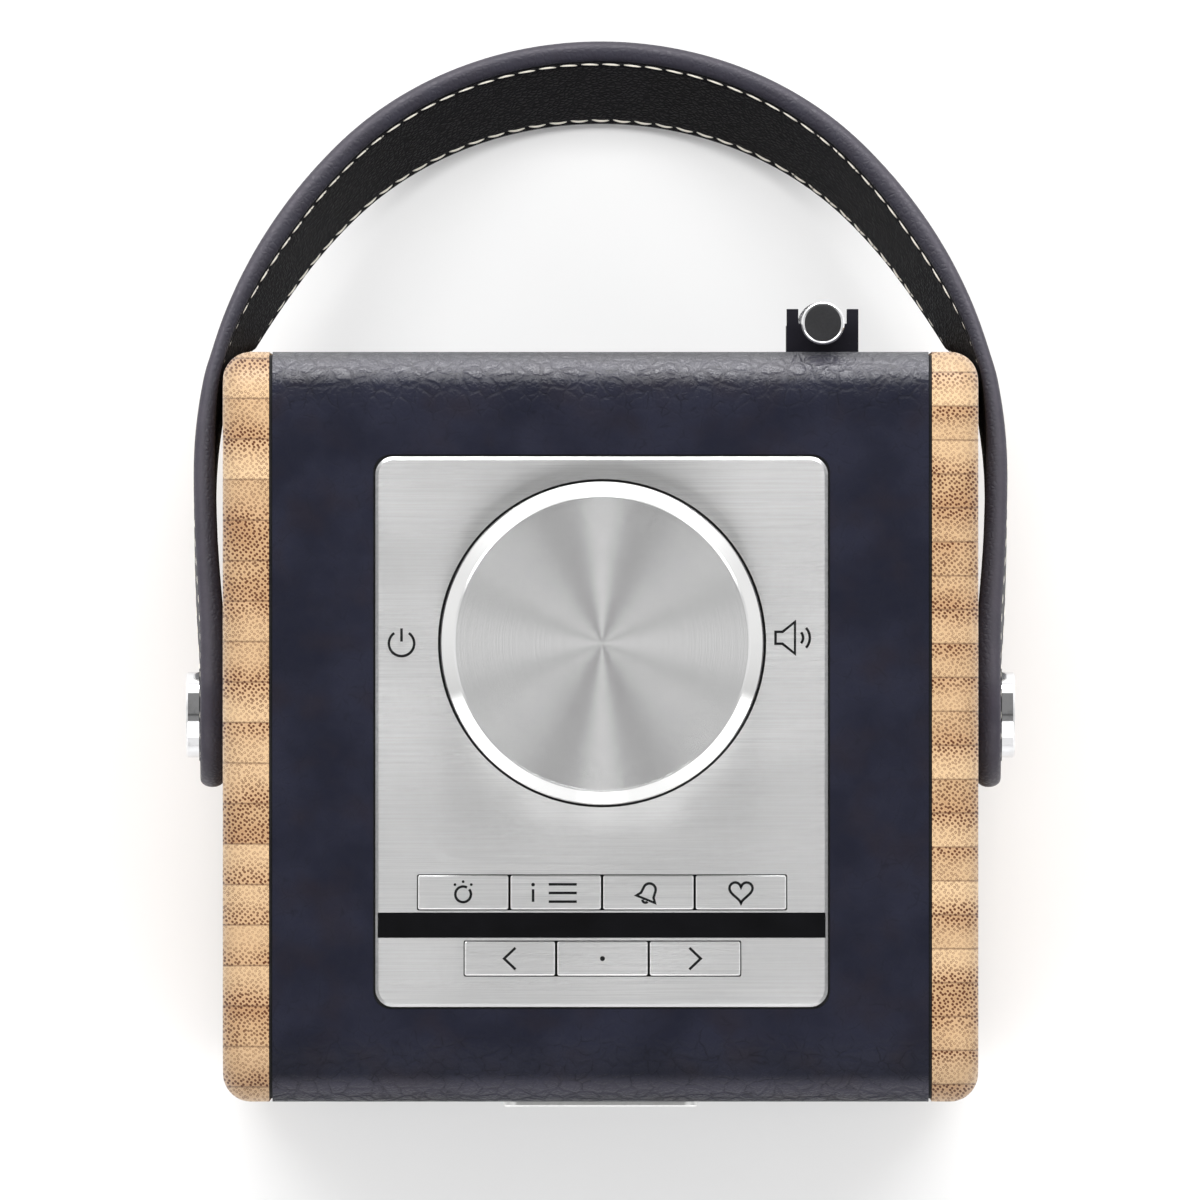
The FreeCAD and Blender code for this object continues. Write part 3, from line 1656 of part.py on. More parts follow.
def make_strap():
    keep(strap_layer("strap_leather", 0, cell("leather_layer")))
    depth = cell("leather_layer") + cell("layer_gap")
    keep(strap_layer("strap_lining", depth, cell("lining_layer")))


def strap_inner():
    return (
        cell("strap_foot_half") - cell("leather_layer") - cell("layer_gap") - cell("lining_layer")
    )


def make_pivots():
    """The studs, eyelets, washers, spacers and inserts that hang the strap on the panels."""
    y, z = cell("pivot_y"), cell("pivot_height")
    face = cell("body_width") / 2
    gap = cell("seat_gap")
    eyelets = []
    washers = []
    inserts = []
    studs = []
    for side, word in ((-1, "left"), (1, "right")):

        def ring(name, start, end, radius, bore):
            low = start if side > 0 else -end
            solid = rod(f"{name}_{word}_solid", "x", low, y, z, radius, end - start)
            hole = rod(f"{name}_{word}_hole", "x", low, y, z, bore, end - start)
            return cut(f"{name}_{word}", solid, hole)

        shoulder = cell("shoulder_radius")
        eyelets.append(
            ring(
                "eyelet", strap_inner(), cell("strap_foot_half"),
                cell("eyelet_radius"), cell("eyelet_bore"),
            )
        )
        washers.append(
            ring(
                "washer", cell("strap_foot_half") + gap, cell("stud_base"),
                cell("washer_radius"), shoulder,
            )
        )
        washers.append(
            ring("spacer", face, strap_inner() - gap, cell("spacer_radius"), shoulder)
        )
        insert_start = panel_inner() + cell("insert_inset")
        insert_end = insert_start + cell("insert_length")
        inserts.append(
            ring(
                "insert", insert_start, insert_end,
                cell("insert_radius"), cell("thread_radius"),
            )
        )
        body = new_body(f"handle_stud_{word}")
        sketch = new_sketch(body, "XZ_Plane")
        cap_end = cell("stud_base") + cell("stud_thickness")
        draw_outline(
            sketch,
            [
                (side * (insert_start + 1), 0),
                (side * (insert_start + 1), cell("thread_radius")),
                (side * insert_end, cell("thread_radius")),
                (side * insert_end, shoulder),
                (side * cell("stud_base"), shoulder),
                (side * cell("stud_base"), cell("stud_radius")),
                (side * (cap_end - cell("stud_rounding")), cell("stud_radius")),
                (side * cap_end, cell("stud_radius") - cell("stud_rounding")),
                (side * cap_end, 0),
            ],
        )
        revolve(body, sketch, "H_Axis")
        place(body, 0, y, z)
        studs.append(body)
    keep(group("handle_studs", studs))
    keep(group("strap_eyelets", eyelets))
    keep(group("strap_washers", washers))
    keep(group("pivot_inserts", inserts))


# ---------------------------------------------------------------- leads


def lead(name, points, radius):
    """A lead through points in the cabinet: straight runs joined by tangent arcs."""
    corners = [Vector(*(as_size(value).value for value in point)) for point in points]
    edges = []
    start = corners[0]
    share = 0.45
    for before, corner, after in zip(corners, corners[1:], corners[2:]):
        reach = share * min((corner - before).Length, (after - corner).Length)
        entry = corner + (before - corner).normalize() * reach
        leave = corner + (after - corner).normalize() * reach
        half_turn = (corner - before).getAngle(after - corner) / 2
        bend = reach / math.tan(half_turn)
        inward = ((entry + leave) * 0.5 - corner).normalize()
        middle = corner + inward * (bend / math.cos(half_turn) - bend)
        edges.append(Part.LineSegment(start, entry).toShape())
        edges.append(Part.Arc(entry, middle, leave).toShape())
        start = leave
    edges.append(Part.LineSegment(start, corners[-1]).toShape())
    path = Part.Wire(edges)
    ring = Part.Circle(corners[0], corners[1] - corners[0], radius).toShape()
    tube = path.makePipeShell([Part.Wire([ring])], True, True)
    full = math.pi * radius**2 * path.Length
    if abs(tube.Volume - full) > 0.01 * full:
        raise RuntimeError(f"the lead {name} has the wrong volume")
    item = DOC.addObject("Part::Feature", name)
    item.Shape = tube
    return item


def make_leads():
    """Three short leads: to the speaker, from the battery and to the antenna."""
    board = cell("main_board_y")
    speaker = lead(
        "speaker_lead",
        [
            (19, baffle_rear() + 28, 46.5),
            (38, baffle_rear() + 36, 48),
            (52, -4, 58),
            (50, 24, 74),
            (38, 44, 78),
            (24, board - 1.6, 74),
        ],
        1.2,
    )
    battery = lead(
        "battery_lead",
        [
            (-48, shell_rear() - 40, 40),
            (-53, shell_rear() - 31, 48),
            (-55, 46, 59),
            (-54, board - 2, 68),
            (-46, board - 3, 73),
        ],
        1.2,
    )
    antenna = lead(
        "antenna_lead",
        [
            (cell("antenna_x"), shell_rear() - 1.5, 36),
            (42, 58, 44),
            (39, 50, 58),
            (34, 47, 72),
            (27, board - 2.4, 84),
        ],
        0.9,
    )
    keep(group("inner_leads", [speaker, battery, antenna]))


# ---------------------------------------------------------------- build


def make_small_screws(board_screws):
    """The small screws of the speaker, the rear panel and the control board."""
    keep(group("small_screws", make_speaker_screws() + make_rear_screws() + board_screws))


def build():
    fill_sheet()
    make_shell()
    make_leather_wrap()
    make_side_panel("side_panel_left", -1)
    make_side_panel("side_panel_right", 1)
    make_panel_screws()
    make_feet()
    make_grille()
    make_grille_backing()
    make_baffle()
    make_speaker()
    make_badge()
    make_control_plate()
    make_display_window()
    make_control_deck()
    make_buttons()
    make_control_board()
    board_posts, board_screws = make_board_posts()
    make_encoder()
    make_dial()
    make_rear_panel()
    make_sockets()
    make_battery_bay()
    make_battery_door()
    rear_posts = make_main_board()
    keep(group("board_posts", board_posts + rear_posts))
    make_small_screws(board_screws)
    make_antenna_mount()
    make_antenna_swivel()
    make_antenna_sections()
    make_strap()
    make_pivots()
    make_leads()
    DOC.recompute()


def check():
    """Every object has to be sound before anything is written."""
    for item in DOC.Objects:
        if "Invalid" in item.State or "Error" in item.State:
            raise RuntimeError(f"{item.Label} failed: {item.State}")
    for node in NODES:
        if node.Shape.isNull() or not node.Shape.isValid() or not node.Shape.Solids:
            raise RuntimeError(f"{node.Label} has no sound shape")


def write():
    os.makedirs("parts", exist_ok=True)
    for node in NODES:
        node.Shape.exportStep(f"parts/{node.Label}.step")
        print(node.Label, len(node.Shape.Solids), round(node.Shape.Volume, 1))


build()
check()
write()
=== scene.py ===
import bisect
import math
import random

import bmesh
import bpy
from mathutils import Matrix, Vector


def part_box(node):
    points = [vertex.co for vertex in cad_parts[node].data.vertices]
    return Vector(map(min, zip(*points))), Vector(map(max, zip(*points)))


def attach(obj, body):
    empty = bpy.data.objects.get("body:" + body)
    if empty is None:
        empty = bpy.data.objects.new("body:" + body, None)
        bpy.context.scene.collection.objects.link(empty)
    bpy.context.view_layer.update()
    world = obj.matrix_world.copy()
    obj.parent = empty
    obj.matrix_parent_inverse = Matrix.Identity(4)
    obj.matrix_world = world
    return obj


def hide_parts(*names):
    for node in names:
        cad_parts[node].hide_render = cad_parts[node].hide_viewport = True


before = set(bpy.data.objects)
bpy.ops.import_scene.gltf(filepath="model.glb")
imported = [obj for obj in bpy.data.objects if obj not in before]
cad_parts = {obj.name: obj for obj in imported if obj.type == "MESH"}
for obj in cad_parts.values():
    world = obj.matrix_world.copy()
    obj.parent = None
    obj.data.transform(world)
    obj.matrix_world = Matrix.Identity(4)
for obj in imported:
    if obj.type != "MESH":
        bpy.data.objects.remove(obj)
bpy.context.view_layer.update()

# Lengths are in millimetres until a mesh is made, and the model's frame is in metres.
MM = 0.001
scene = bpy.context.scene


def millimetres(node):
    """A CAD node's lowest and highest corners, in millimetres."""
    low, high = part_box(node)
    return low / MM, high / MM


def middle(node):
    """The middle of a CAD node's box, in millimetres."""
    low, high = millimetres(node)
    return (low + high) / 2


LEATHER_LOW, LEATHER_HIGH = millimetres("leather_wrap")
PANEL_LOW, PANEL_HIGH = millimetres("side_panel_right")
PLATE_LOW, PLATE_HIGH = millimetres("control_plate")


# ---------------------------------------------------------------- camera

# The point (x, y) in the middle of the picture, and the picture's width at the plate's top.
CAMERA_AIM = (-0.1, 23.5)
FRAME_WIDTH = 222.2
CAMERA_DISTANCE = 9500
CAMERA_REACH = 100000
SENSOR_WIDTH = 36


def add_camera():
    """Looks straight down from far away, with the radio's rear at the top of the picture."""
    data = bpy.data.cameras.new("camera")
    data.sensor_width = SENSOR_WIDTH
    data.lens = SENSOR_WIDTH * CAMERA_DISTANCE / FRAME_WIDTH
    data.clip_end = CAMERA_REACH * MM
    camera = bpy.data.objects.new("camera", data)
    camera.location = Vector((*CAMERA_AIM, PLATE_HIGH.z + CAMERA_DISTANCE)) * MM
    scene.collection.objects.link(camera)
    scene.camera = camera


# ---------------------------------------------------------------- node graphs


def colour(red, green, blue):
    """A linear colour from screen values of 0 to 255."""
    parts = [value / 255 for value in (red, green, blue)]
    linear = [part / 12.92 if part <= 0.04045 else ((part + 0.055) / 1.055) ** 2.4 for part in parts]
    return (*linear, 1.0)


def grey(value):
    """A linear grey."""
    return (value, value, value, 1.0)


def tinted(shade, strength=1.0, lift=0.0):
    """A linear colour from its red, green and blue, made stronger and then lifted."""
    return (*[strength * part + lift for part in shade], 1.0)


class Graph:
    """Short calls that add nodes to one tree. Its patterns are laid out in millimetres."""

    def __init__(self, tree):
        self.tree = tree

    def feed(self, socket, value):
        """Links an input socket to another node's output, or sets its plain value."""
        if isinstance(value, bpy.types.NodeSocket):
            self.tree.links.new(value, socket)
        else:
            socket.default_value = value

    def add(self, kind, settings=(), **inputs):
        """A new node with its settings, and its inputs fed by name."""
        node = self.tree.nodes.new("ShaderNode" + kind)
        for key, value in dict(settings).items():
            setattr(node, key, value)
        for key, value in inputs.items():
            self.feed(node.inputs[key.replace("_", " ")], value)
        return node

    def calc(self, operation, *values):
        """The result of one sum or comparison."""
        node = self.add("Math", {"operation": operation})
        for socket, value in zip(node.inputs, values):
            self.feed(socket, value)
        return node.outputs[0]

    def split(self, vector):
        """A vector's x, y and z."""
        return self.add("SeparateXYZ", Vector=vector).outputs

    def join(self, x, y, z):
        """A vector or grey from its three parts."""
        return self.add("CombineXYZ", X=x, Y=y, Z=z).outputs[0]

    def remap(self, value, low, high, start=0.0, end=1.0):
        """Turns low..high smoothly into start..end."""
        node = self.add("MapRange", {"interpolation_type": "SMOOTHSTEP"}, Value=value)
        for key, limit in (("From Min", low), ("From Max", high), ("To Min", start), ("To Max", end)):
            node.inputs[key].default_value = limit
        return node.outputs[0]

    def ramp(self, value, stops):
        """A grey for each value, from (place, brightness) stops."""
        node = self.add("ValToRGB", Fac=value)
        elements = node.color_ramp.elements
        while len(elements) < len(stops):
            elements.new(0.5)
        for element, (place, brightness) in zip(elements, stops):
            element.position = place
            element.color = grey(brightness)
        return node.outputs["Color"]

    def between(self, factor, first, second):
        """A number that goes from the first to the second as the factor goes from 0 to 1."""
        node = self.add("Mix", {"data_type": "FLOAT"})
        for place, value in ((0, factor), (2, first), (3, second)):
            self.feed(node.inputs[place], value)
        return node.outputs[0]

    def reach(self, x, y):
        """The distance from the middle of a plane."""
        return self.calc("SQRT", self.calc("ADD", self.calc("MULTIPLY", x, x), self.calc("MULTIPLY", y, y)))

    def mix(self, factor, first, second):
        """A colour that goes from the first to the second as the factor goes from 0 to 1."""
        node = self.add("Mix", {"data_type": "RGBA"})
        self.feed(node.inputs[0], factor)
        self.feed(node.inputs[6], first)
        self.feed(node.inputs[7], second)
        return node.outputs[2]

    def place(self, scale=(1, 1, 1), shift=(0, 0, 0)):
        """The model's own coordinates in millimetres, then scaled and shifted."""
        whole = self.add("TexCoord").outputs["Object"]
        node = self.add("Mapping", Vector=whole, Location=shift, Scale=[part / MM for part in scale])
        return node.outputs[0]

    def noise(self, vector, size, detail=3.0, roughness=0.5):
        """Soft noise whose features are about that many millimetres across."""
        node = self.add("TexNoise", Vector=vector, Scale=1 / size, Detail=detail, Roughness=roughness)
        return node.outputs["Fac"]

    def warp(self, vector, size, amount):
        """Moves each point by up to that many millimetres, smoothly."""
        push = self.add("TexNoise", Vector=vector, Scale=1 / size, Detail=2.0).outputs["Color"]
        centred = self.add("VectorMath", {"operation": "SUBTRACT"})
        self.feed(centred.inputs[0], push)
        centred.inputs[1].default_value = (0.5, 0.5, 0.5)
        scaled = self.add("VectorMath", {"operation": "SCALE"}, Scale=2.0 * amount)
        self.feed(scaled.inputs[0], centred.outputs[0])
        moved = self.add("VectorMath", {"operation": "ADD"})
        self.feed(moved.inputs[0], vector)
        self.feed(moved.inputs[1], scaled.outputs[0])
        return moved.outputs[0]

    def cells(self, vector, size, feature="F1", dimensions="3D", randomness=1.0):
        """Distance in a cell pattern whose cells are about that many millimetres across."""
        settings = {"feature": feature, "voronoi_dimensions": dimensions}
        node = self.add("TexVoronoi", settings, Vector=vector, Scale=1 / size, Randomness=randomness)
        return node.outputs["Distance"]


class Paint(Graph):
    """One procedural material, with its plain values set on the shader's own sockets."""

    def __init__(self, name, **sockets):
        self.material = bpy.data.materials.new(name)
        self.material.use_nodes = True
        super().__init__(self.material.node_tree)
        self.shader = self.tree.nodes["Principled BSDF"]
        self.set(**sockets)

    def set(self, **sockets):
        """Feeds the shader's sockets by name."""
        for key, value in sockets.items():
            self.feed(self.shader.inputs[key.replace("_", " ")], value)

    def relief(self, height, depth):
        """Surface relief, where a height of 1 stands that many millimetres above 0."""
        node = self.add("Bump", Height=height, Distance=depth * MM)
        self.feed(self.shader.inputs["Normal"], node.outputs[0])


# ---------------------------------------------------------------- materials

# How far in from its front and rear faces, and down from its top, the leather bends, and where its edges are
# painted lighter as a highlight.
BEND_IN, BEND_DOWN = (15.5, 1.5), (19.0, 6.0)
HIGHLIGHT_IN, HIGHLIGHT_DOWN = (5.5, 0.2), (9.0, 2.0)
# How far in from its rear face it starts to shine more, and where that is complete.
SHEEN_IN = (6.5, 2.5)
CREASE_SIZE = 3.1
GRAIN_SIZE = 1.0


def corner_mask(paint, out, height, inward, downward):
    """1 on the leather's upper front and rear edges, and 0 away from them."""
    near_face = paint.remap(out, *[LEATHER_HIGH.y - distance for distance in inward])
    near_top = paint.remap(height, *[LEATHER_HIGH.z - distance for distance in downward])
    return paint.calc("MULTIPLY", near_face, near_top)


def leather(name, pale, deep, warm):
    """Soft navy leather: faint creases on the flat, and deep ones where it bends over an edge, with painted
    shade in the creases and a painted highlight along its upper front and rear edges.
    """
    paint = Paint(name)
    skin = paint.place()
    _, y, z = paint.split(skin)
    out = paint.calc("ABSOLUTE", y)
    bend = corner_mask(paint, out, z, BEND_IN, BEND_DOWN)
    edge_highlight = corner_mask(paint, out, z, HIGHLIGHT_IN, HIGHLIGHT_DOWN)
    patchy = paint.noise(skin, 16)
    strength = paint.calc("MULTIPLY_ADD", bend, 1.3, paint.remap(patchy, 0.35, 0.7, 0.22, 0.48))
    loose = paint.warp(paint.warp(skin, 7.0, 1.8), 1.6, 0.28)
    wide = paint.cells(loose, CREASE_SIZE, "DISTANCE_TO_EDGE")
    small = paint.cells(paint.warp(skin, 2.0, 0.6), GRAIN_SIZE, "DISTANCE_TO_EDGE")
    pebbles = paint.remap(wide, 0.0, 0.22)
    grains = paint.remap(small, 0.0, 0.30)
    height = paint.calc("MULTIPLY_ADD", grains, 0.35, pebbles)
    height = paint.calc("MULTIPLY", height, strength)
    height = paint.calc("MULTIPLY_ADD", paint.noise(skin, 0.14, 2.0), 0.10, height)
    shade = paint.mix(paint.remap(patchy, 0.35, 0.65), deep, pale)
    shade = paint.mix(paint.remap(paint.noise(skin, 9, 2.0), 0.45, 0.75, 0.0, 0.6), shade, warm)
    # Its upper front and rear edges are painted lighter: a painted highlight.
    shade = paint.mix(edge_highlight, shade, colour(86, 84, 94))
    broken = paint.remap(paint.noise(skin, 2.2), 0.38, 0.62)
    # Dark lines in the creases are painted shade, strongest where the leather bends over an edge.
    crease_shade = paint.calc("MULTIPLY", paint.remap(wide, 0.0, 0.05, 0.75, 0.0), broken)
    crease_shade = paint.calc("MAXIMUM", crease_shade, paint.remap(small, 0.0, 0.04, 0.3, 0.0))
    crease_shade = paint.calc("MULTIPLY", crease_shade, paint.calc("MINIMUM", strength, 0.8))
    paint.set(Base_Color=paint.mix(crease_shade, shade, (0.003, 0.003, 0.005, 1.0)))
    sheen_start, sheen_end = [LEATHER_HIGH.y - distance for distance in SHEEN_IN]
    paint.set(Specular_IOR_Level=paint.remap(y, sheen_start, sheen_end, 0.08, 0.75))
    paint.set(Roughness=paint.remap(pebbles, 0.0, 1.0, 0.50, 0.38))
    paint.relief(height, 0.12)
    return paint.material


def pebbled(name, pale, deep, pebble, depth, roughness):
    """Evenly pebbled leather with creases between its grains, painted dark as shade."""
    paint = Paint(name, Specular_IOR_Level=0.12)
    skin = paint.place()
    loose = paint.warp(skin, 2.5 * pebble, 0.35 * pebble)
    creases = paint.cells(loose, pebble, "DISTANCE_TO_EDGE")
    pebbles = paint.remap(creases, 0.0, 0.32)
    pores = paint.noise(skin, 0.12, 2.0)
    height = paint.calc("MULTIPLY_ADD", pores, 0.18, pebbles)
    # The creases are painted dark as shade.
    crease_shade = paint.remap(creases, 0.0, 0.12, 0.5, 0.0)
    shade = paint.mix(paint.remap(paint.noise(skin, 18), 0.3, 0.7), deep, pale)
    paint.set(Base_Color=paint.mix(crease_shade, shade, (0.003, 0.003, 0.004, 1.0)))
    paint.set(Roughness=paint.remap(pebbles, 0.0, 1.0, roughness + 0.15, roughness))
    paint.relief(height, depth)
    return paint.material


FIBRE_PITCH = 0.96
GLUE_WIDTH = 0.30
# Each strip has one knuckle, a faint line between these heights, and this far to either side of it.
KNUCKLE_LOWEST = 16.0
KNUCKLE_HIGHEST = 122.0
KNUCKLE_HALF = 1.3


def fibre_ends(paint, x, y, fill):
    """The cut ends of the fibres: dark cores, solid where the strip is full, and a pale halo round each."""
    along = paint.calc("ADD", x, y)
    beside = paint.calc("SUBTRACT", x, y)
    lattice = paint.join(along, paint.calc("MULTIPLY", beside, 0.86), 0.0)
    dots = paint.cells(lattice, FIBRE_PITCH, dimensions="2D", randomness=0.5)
    disc = paint.remap(dots, 0.24, 0.42, 1.0, 0.0)
    heart = paint.remap(dots, 0.08, 0.24, 1.0, 0.0)
    paleness = paint.calc("SUBTRACT", 0.85, paint.calc("MULTIPLY", fill, 0.8))
    core = paint.calc("MULTIPLY", disc, paint.calc("SUBTRACT", 1.0, paint.calc("MULTIPLY", heart, paleness)))
    halo = paint.remap(dots, 0.38, 0.66, 1.0, 0.0)
    return core, halo


def bamboo(name, pitch, start, seed):
    """Laminated bamboo strips, stacked front to back, with their fibres upright."""
    paint = Paint(name, Specular_IOR_Level=0.3, Coat_Weight=0.05, Coat_Roughness=0.35)
    x, y, _ = paint.split(paint.warp(paint.place((1, 1, 0.04)), 6.0, 0.10))
    height = paint.split(paint.place())[2]
    count = paint.calc("DIVIDE", paint.calc("SUBTRACT", y, start), pitch)
    strip = paint.calc("FLOOR", count)
    across = paint.calc("FRACT", count)
    mirrored = paint.calc("SUBTRACT", 1.0, across)
    chance = paint.add("TexWhiteNoise", {"noise_dimensions": "1D"}, W=paint.calc("ADD", strip, seed))
    lot, tone, knuckle = paint.split(chance.outputs["Color"])
    rind = paint.between(paint.calc("GREATER_THAN", lot, 0.5), across, mirrored)
    dense = paint.remap(rind, 0.25, 1.0)
    fill = paint.calc("MAXIMUM", dense, paint.remap(tone, 0.45, 0.95))
    core, halo = fibre_ends(paint, x, y, fill)
    grain = paint.noise(paint.place((3.5, 3.5, 0.05)), 1.0, 4.0, 0.6)
    cloud = paint.noise(paint.place((1, 1, 0.2)), 7.0, 2.0)

    base = paint.mix(tone, colour(186, 159, 125), colour(144, 112, 79))
    base = paint.mix(paint.calc("MULTIPLY", dense, 0.55), base, colour(142, 105, 73))
    base = paint.mix(paint.calc("MULTIPLY", halo, 0.16), base, colour(208, 180, 141))
    base = paint.mix(paint.remap(cloud, 0.35, 0.7, 0.0, 0.35), base, colour(190, 161, 125))
    base = paint.mix(paint.remap(grain, 0.45, 0.75, 0.0, 0.3), base, colour(134, 94, 60))
    strength = paint.calc("MULTIPLY_ADD", fill, 0.5, paint.remap(cloud, 0.3, 0.7, 0.80, 0.40))
    base = paint.mix(paint.calc("MULTIPLY", core, strength), base, colour(76, 38, 12))
    near_joint = paint.calc("MINIMUM", across, mirrored)
    glue = paint.remap(near_joint, 0.0, GLUE_WIDTH / pitch, 0.6, 0.0)
    base = paint.mix(glue, base, colour(70, 42, 24))
    knuckle_height = paint.remap(knuckle, 0.0, 1.0, KNUCKLE_LOWEST, KNUCKLE_HIGHEST)
    level = paint.calc("ABSOLUTE", paint.calc("SUBTRACT", height, knuckle_height))
    base = paint.mix(paint.remap(level, 0.0, KNUCKLE_HALF, 0.55, 0.0), base, colour(136, 92, 54))
    paint.set(Base_Color=base, Roughness=paint.remap(core, 0.0, 1.0, 0.42, 0.6))
    pits = paint.calc("MULTIPLY_ADD", core, -0.8, paint.calc("MULTIPLY", grain, 0.3))
    paint.relief(paint.calc("SUBTRACT", pits, paint.calc("MULTIPLY", glue, 0.8)), 0.05)
    return paint.material


def brushed(name, tone):
    """Aluminium brushed from side to side, with soft darker patches painted in as a reflection."""
    paint = Paint(name, Metallic=1.0, Anisotropic=0.95)
    fine = paint.noise(paint.place((0.05, 9.0, 9.0)), 1.0, 4.0, 0.65)
    broad = paint.noise(paint.place((0.02, 1.6, 1.6)), 1.0, 2.0)
    streaks = paint.calc("MULTIPLY_ADD", broad, 0.4, paint.calc("MULTIPLY", fine, 0.6))
    bright = (tone, tone, 0.995 * tone, 1.0)
    sheen = paint.mix(paint.remap(streaks, 0.36, 0.64), grey(0.74 * tone), bright)
    # Large soft darker patches: a painted reflection of uneven light.
    cloud = paint.remap(paint.noise(paint.place((0.5, 1.0, 1.0)), 26.0, 1.0), 0.35, 0.65, 0.0, 0.5)
    paint.set(Base_Color=paint.mix(cloud, sheen, grey(0.62 * tone)))
    paint.set(Roughness=paint.remap(streaks, 0.3, 0.7, 0.41, 0.29))
    paint.set(Tangent=paint.join(0.0, 1.0, 0.0))
    paint.relief(fine, 0.004)
    return paint.material


BEVEL_WIDTH = 2.45
BEVEL_BLEND = 0.1


def spun(name):
    """A turned face with fine rings inside a polished bevel."""
    centre = middle("volume_dial")
    face_radius = millimetres("volume_dial")[1].x - centre.x - BEVEL_WIDTH
    paint = Paint(name, Metallic=1.0, Anisotropic=1.0)
    x, y, _ = paint.split(paint.place(shift=(-centre.x, -centre.y, 0)))
    reach = paint.reach(x, y)
    rings = paint.noise(paint.join(paint.calc("MULTIPLY", reach, 5.5), 0.0, 0.0), 1.0, 3.0, 0.7)
    face = paint.remap(reach, face_radius - BEVEL_BLEND, face_radius + BEVEL_BLEND, 1.0, 0.0)
    tone = paint.remap(rings, 0.35, 0.65, 0.80, 0.94)
    paint.set(Base_Color=paint.mix(face, (0.86, 0.86, 0.855, 1.0), paint.join(tone, tone, tone)))
    paint.set(Roughness=paint.calc("MULTIPLY_ADD", face, 0.15, 0.12))
    paint.set(Tangent=paint.join(x, y, 0.0))
    paint.relief(paint.calc("MULTIPLY", rings, face), 0.003)
    return paint.material


def metal(name, shade, roughness, wear=0.06):
    """Plain metal with faint rub marks."""
    paint = Paint(name, Metallic=1.0)
    marks = paint.noise(paint.place((1, 1, 0.25)), 2.0, 4.0, 0.65)
    paint.set(Base_Color=paint.mix(paint.remap(marks, 0.45, 0.75), tinted(shade), tinted(shade, 0.86)))
    paint.set(Roughness=paint.remap(marks, 0.3, 0.75, roughness, roughness + wear))
    paint.relief(paint.noise(paint.place(), 0.5, 2.0), 0.002)
    return paint.material


def moulded(name, shade, roughness=0.5, grain=0.25, depth=0.02, level=0.5):
    """Moulded plastic or rubber with a fine spark-eroded texture."""
    paint = Paint(name, Specular_IOR_Level=level)
    texture = paint.noise(paint.place(), grain, 3.0, 0.6)
    soft = paint.noise(paint.place(), 14.0, 2.0)
    paint.set(Base_Color=paint.mix(paint.remap(soft, 0.3, 0.75), tinted(shade), tinted(shade, 1.35, 0.002)))
    paint.set(Roughness=paint.remap(texture, 0.3, 0.7, roughness - 0.06, roughness + 0.08))
    paint.relief(texture, depth)
    return paint.material


def glossy(name, tone):
    """A polished dark window with the faintest haze."""
    paint = Paint(name, Specular_IOR_Level=0.35)
    haze = paint.noise(paint.place(), 7.0)
    paint.set(Base_Color=paint.mix(haze, grey(tone), (0.006, 0.006, 0.007, 1.0)))
    paint.set(Roughness=paint.remap(haze, 0.3, 0.7, 0.03, 0.07))
    return paint.material


def woven(name, shade, thread):
    """Plain woven cloth, with threads that many millimetres wide, their raised crossings painted lighter as a
    highlight.
    """
    paint = Paint(name, Specular_IOR_Level=0.2, Sheen_Weight=0.25)
    x, _, z = paint.split(paint.place())
    warp = paint.calc("SINE", paint.calc("MULTIPLY", x, math.pi / thread))
    weft = paint.calc("SINE", paint.calc("MULTIPLY", z, math.pi / thread))
    weave = paint.remap(paint.calc("MULTIPLY", warp, weft), -1.0, 1.0)
    fuzz = paint.noise(paint.place(), 0.2, 2.0)
    # The raised crossings of the threads are painted lighter: a painted highlight.
    thread_highlight = paint.calc("MULTIPLY", weave, fuzz)
    paint.set(Base_Color=paint.mix(thread_highlight, tinted(shade), tinted(shade, 2.2, 0.01)), Roughness=0.85)
    paint.relief(weave, 0.15)
    return paint.material


def laminate(name, shade, line):
    """A printed circuit board with thin tracks under its lacquer."""
    paint = Paint(name, Specular_IOR_Level=0.5)
    tracks = paint.cells(paint.place(), 2.4, "DISTANCE_TO_EDGE", randomness=0.25)
    paint.set(Base_Color=paint.mix(paint.remap(tracks, 0.04, 0.10, 1.0, 0.0), tinted(shade), tinted(line)))
    paint.set(Roughness=paint.remap(paint.noise(paint.place(), 3.0), 0.3, 0.7, 0.3, 0.42))
    paint.relief(paint.remap(tracks, 0.04, 0.12), 0.02)
    return paint.material


def strap_finish(name, pale, deep, painted):
    """Grained leather whose "edge" attribute says where its cut edge is painted smooth."""
    paint = Paint(name, Specular_IOR_Level=0.3)
    edge = paint.add("Attribute", {"attribute_name": "edge"}).outputs["Fac"]
    skin = paint.place()
    creases = paint.cells(paint.warp(skin, 2.4, 0.4), 1.1, "DISTANCE_TO_EDGE")
    pebbles = paint.remap(creases, 0.0, 0.3)
    pores = paint.noise(skin, 0.15, 2.0)
    streaks = paint.noise(skin, 5.0)
    hide = paint.mix(paint.remap(streaks, 0.3, 0.7), deep, pale)
    edge_tone = paint.mix(paint.remap(streaks, 0.3, 0.7, 0.0, 0.35), painted, pale)
    paint.set(Base_Color=paint.mix(edge, hide, edge_tone))
    paint.set(Roughness=paint.calc("MULTIPLY_ADD", edge, -0.08, paint.remap(pebbles, 0.0, 1.0, 0.62, 0.48)))
    grain = paint.calc("MULTIPLY_ADD", pores, 0.3, pebbles)
    paint.relief(paint.calc("MULTIPLY", grain, paint.remap(edge, 0.0, 1.0, 1.0, 0.12)), 0.07)
    return paint.material


def thread_finish(name):
    """Waxed twisted thread."""
    paint = Paint(name, Specular_IOR_Level=0.3, Sheen_Weight=0.2)
    fibres = paint.noise(paint.place(), 0.16, 3.0, 0.65)
    paint.set(Base_Color=paint.mix(fibres, colour(214, 206, 190), colour(250, 247, 238)))
    paint.set(Roughness=paint.remap(fibres, 0.2, 0.8, 0.55, 0.8))
    paint.relief(fibres, 0.05)
    return paint.material


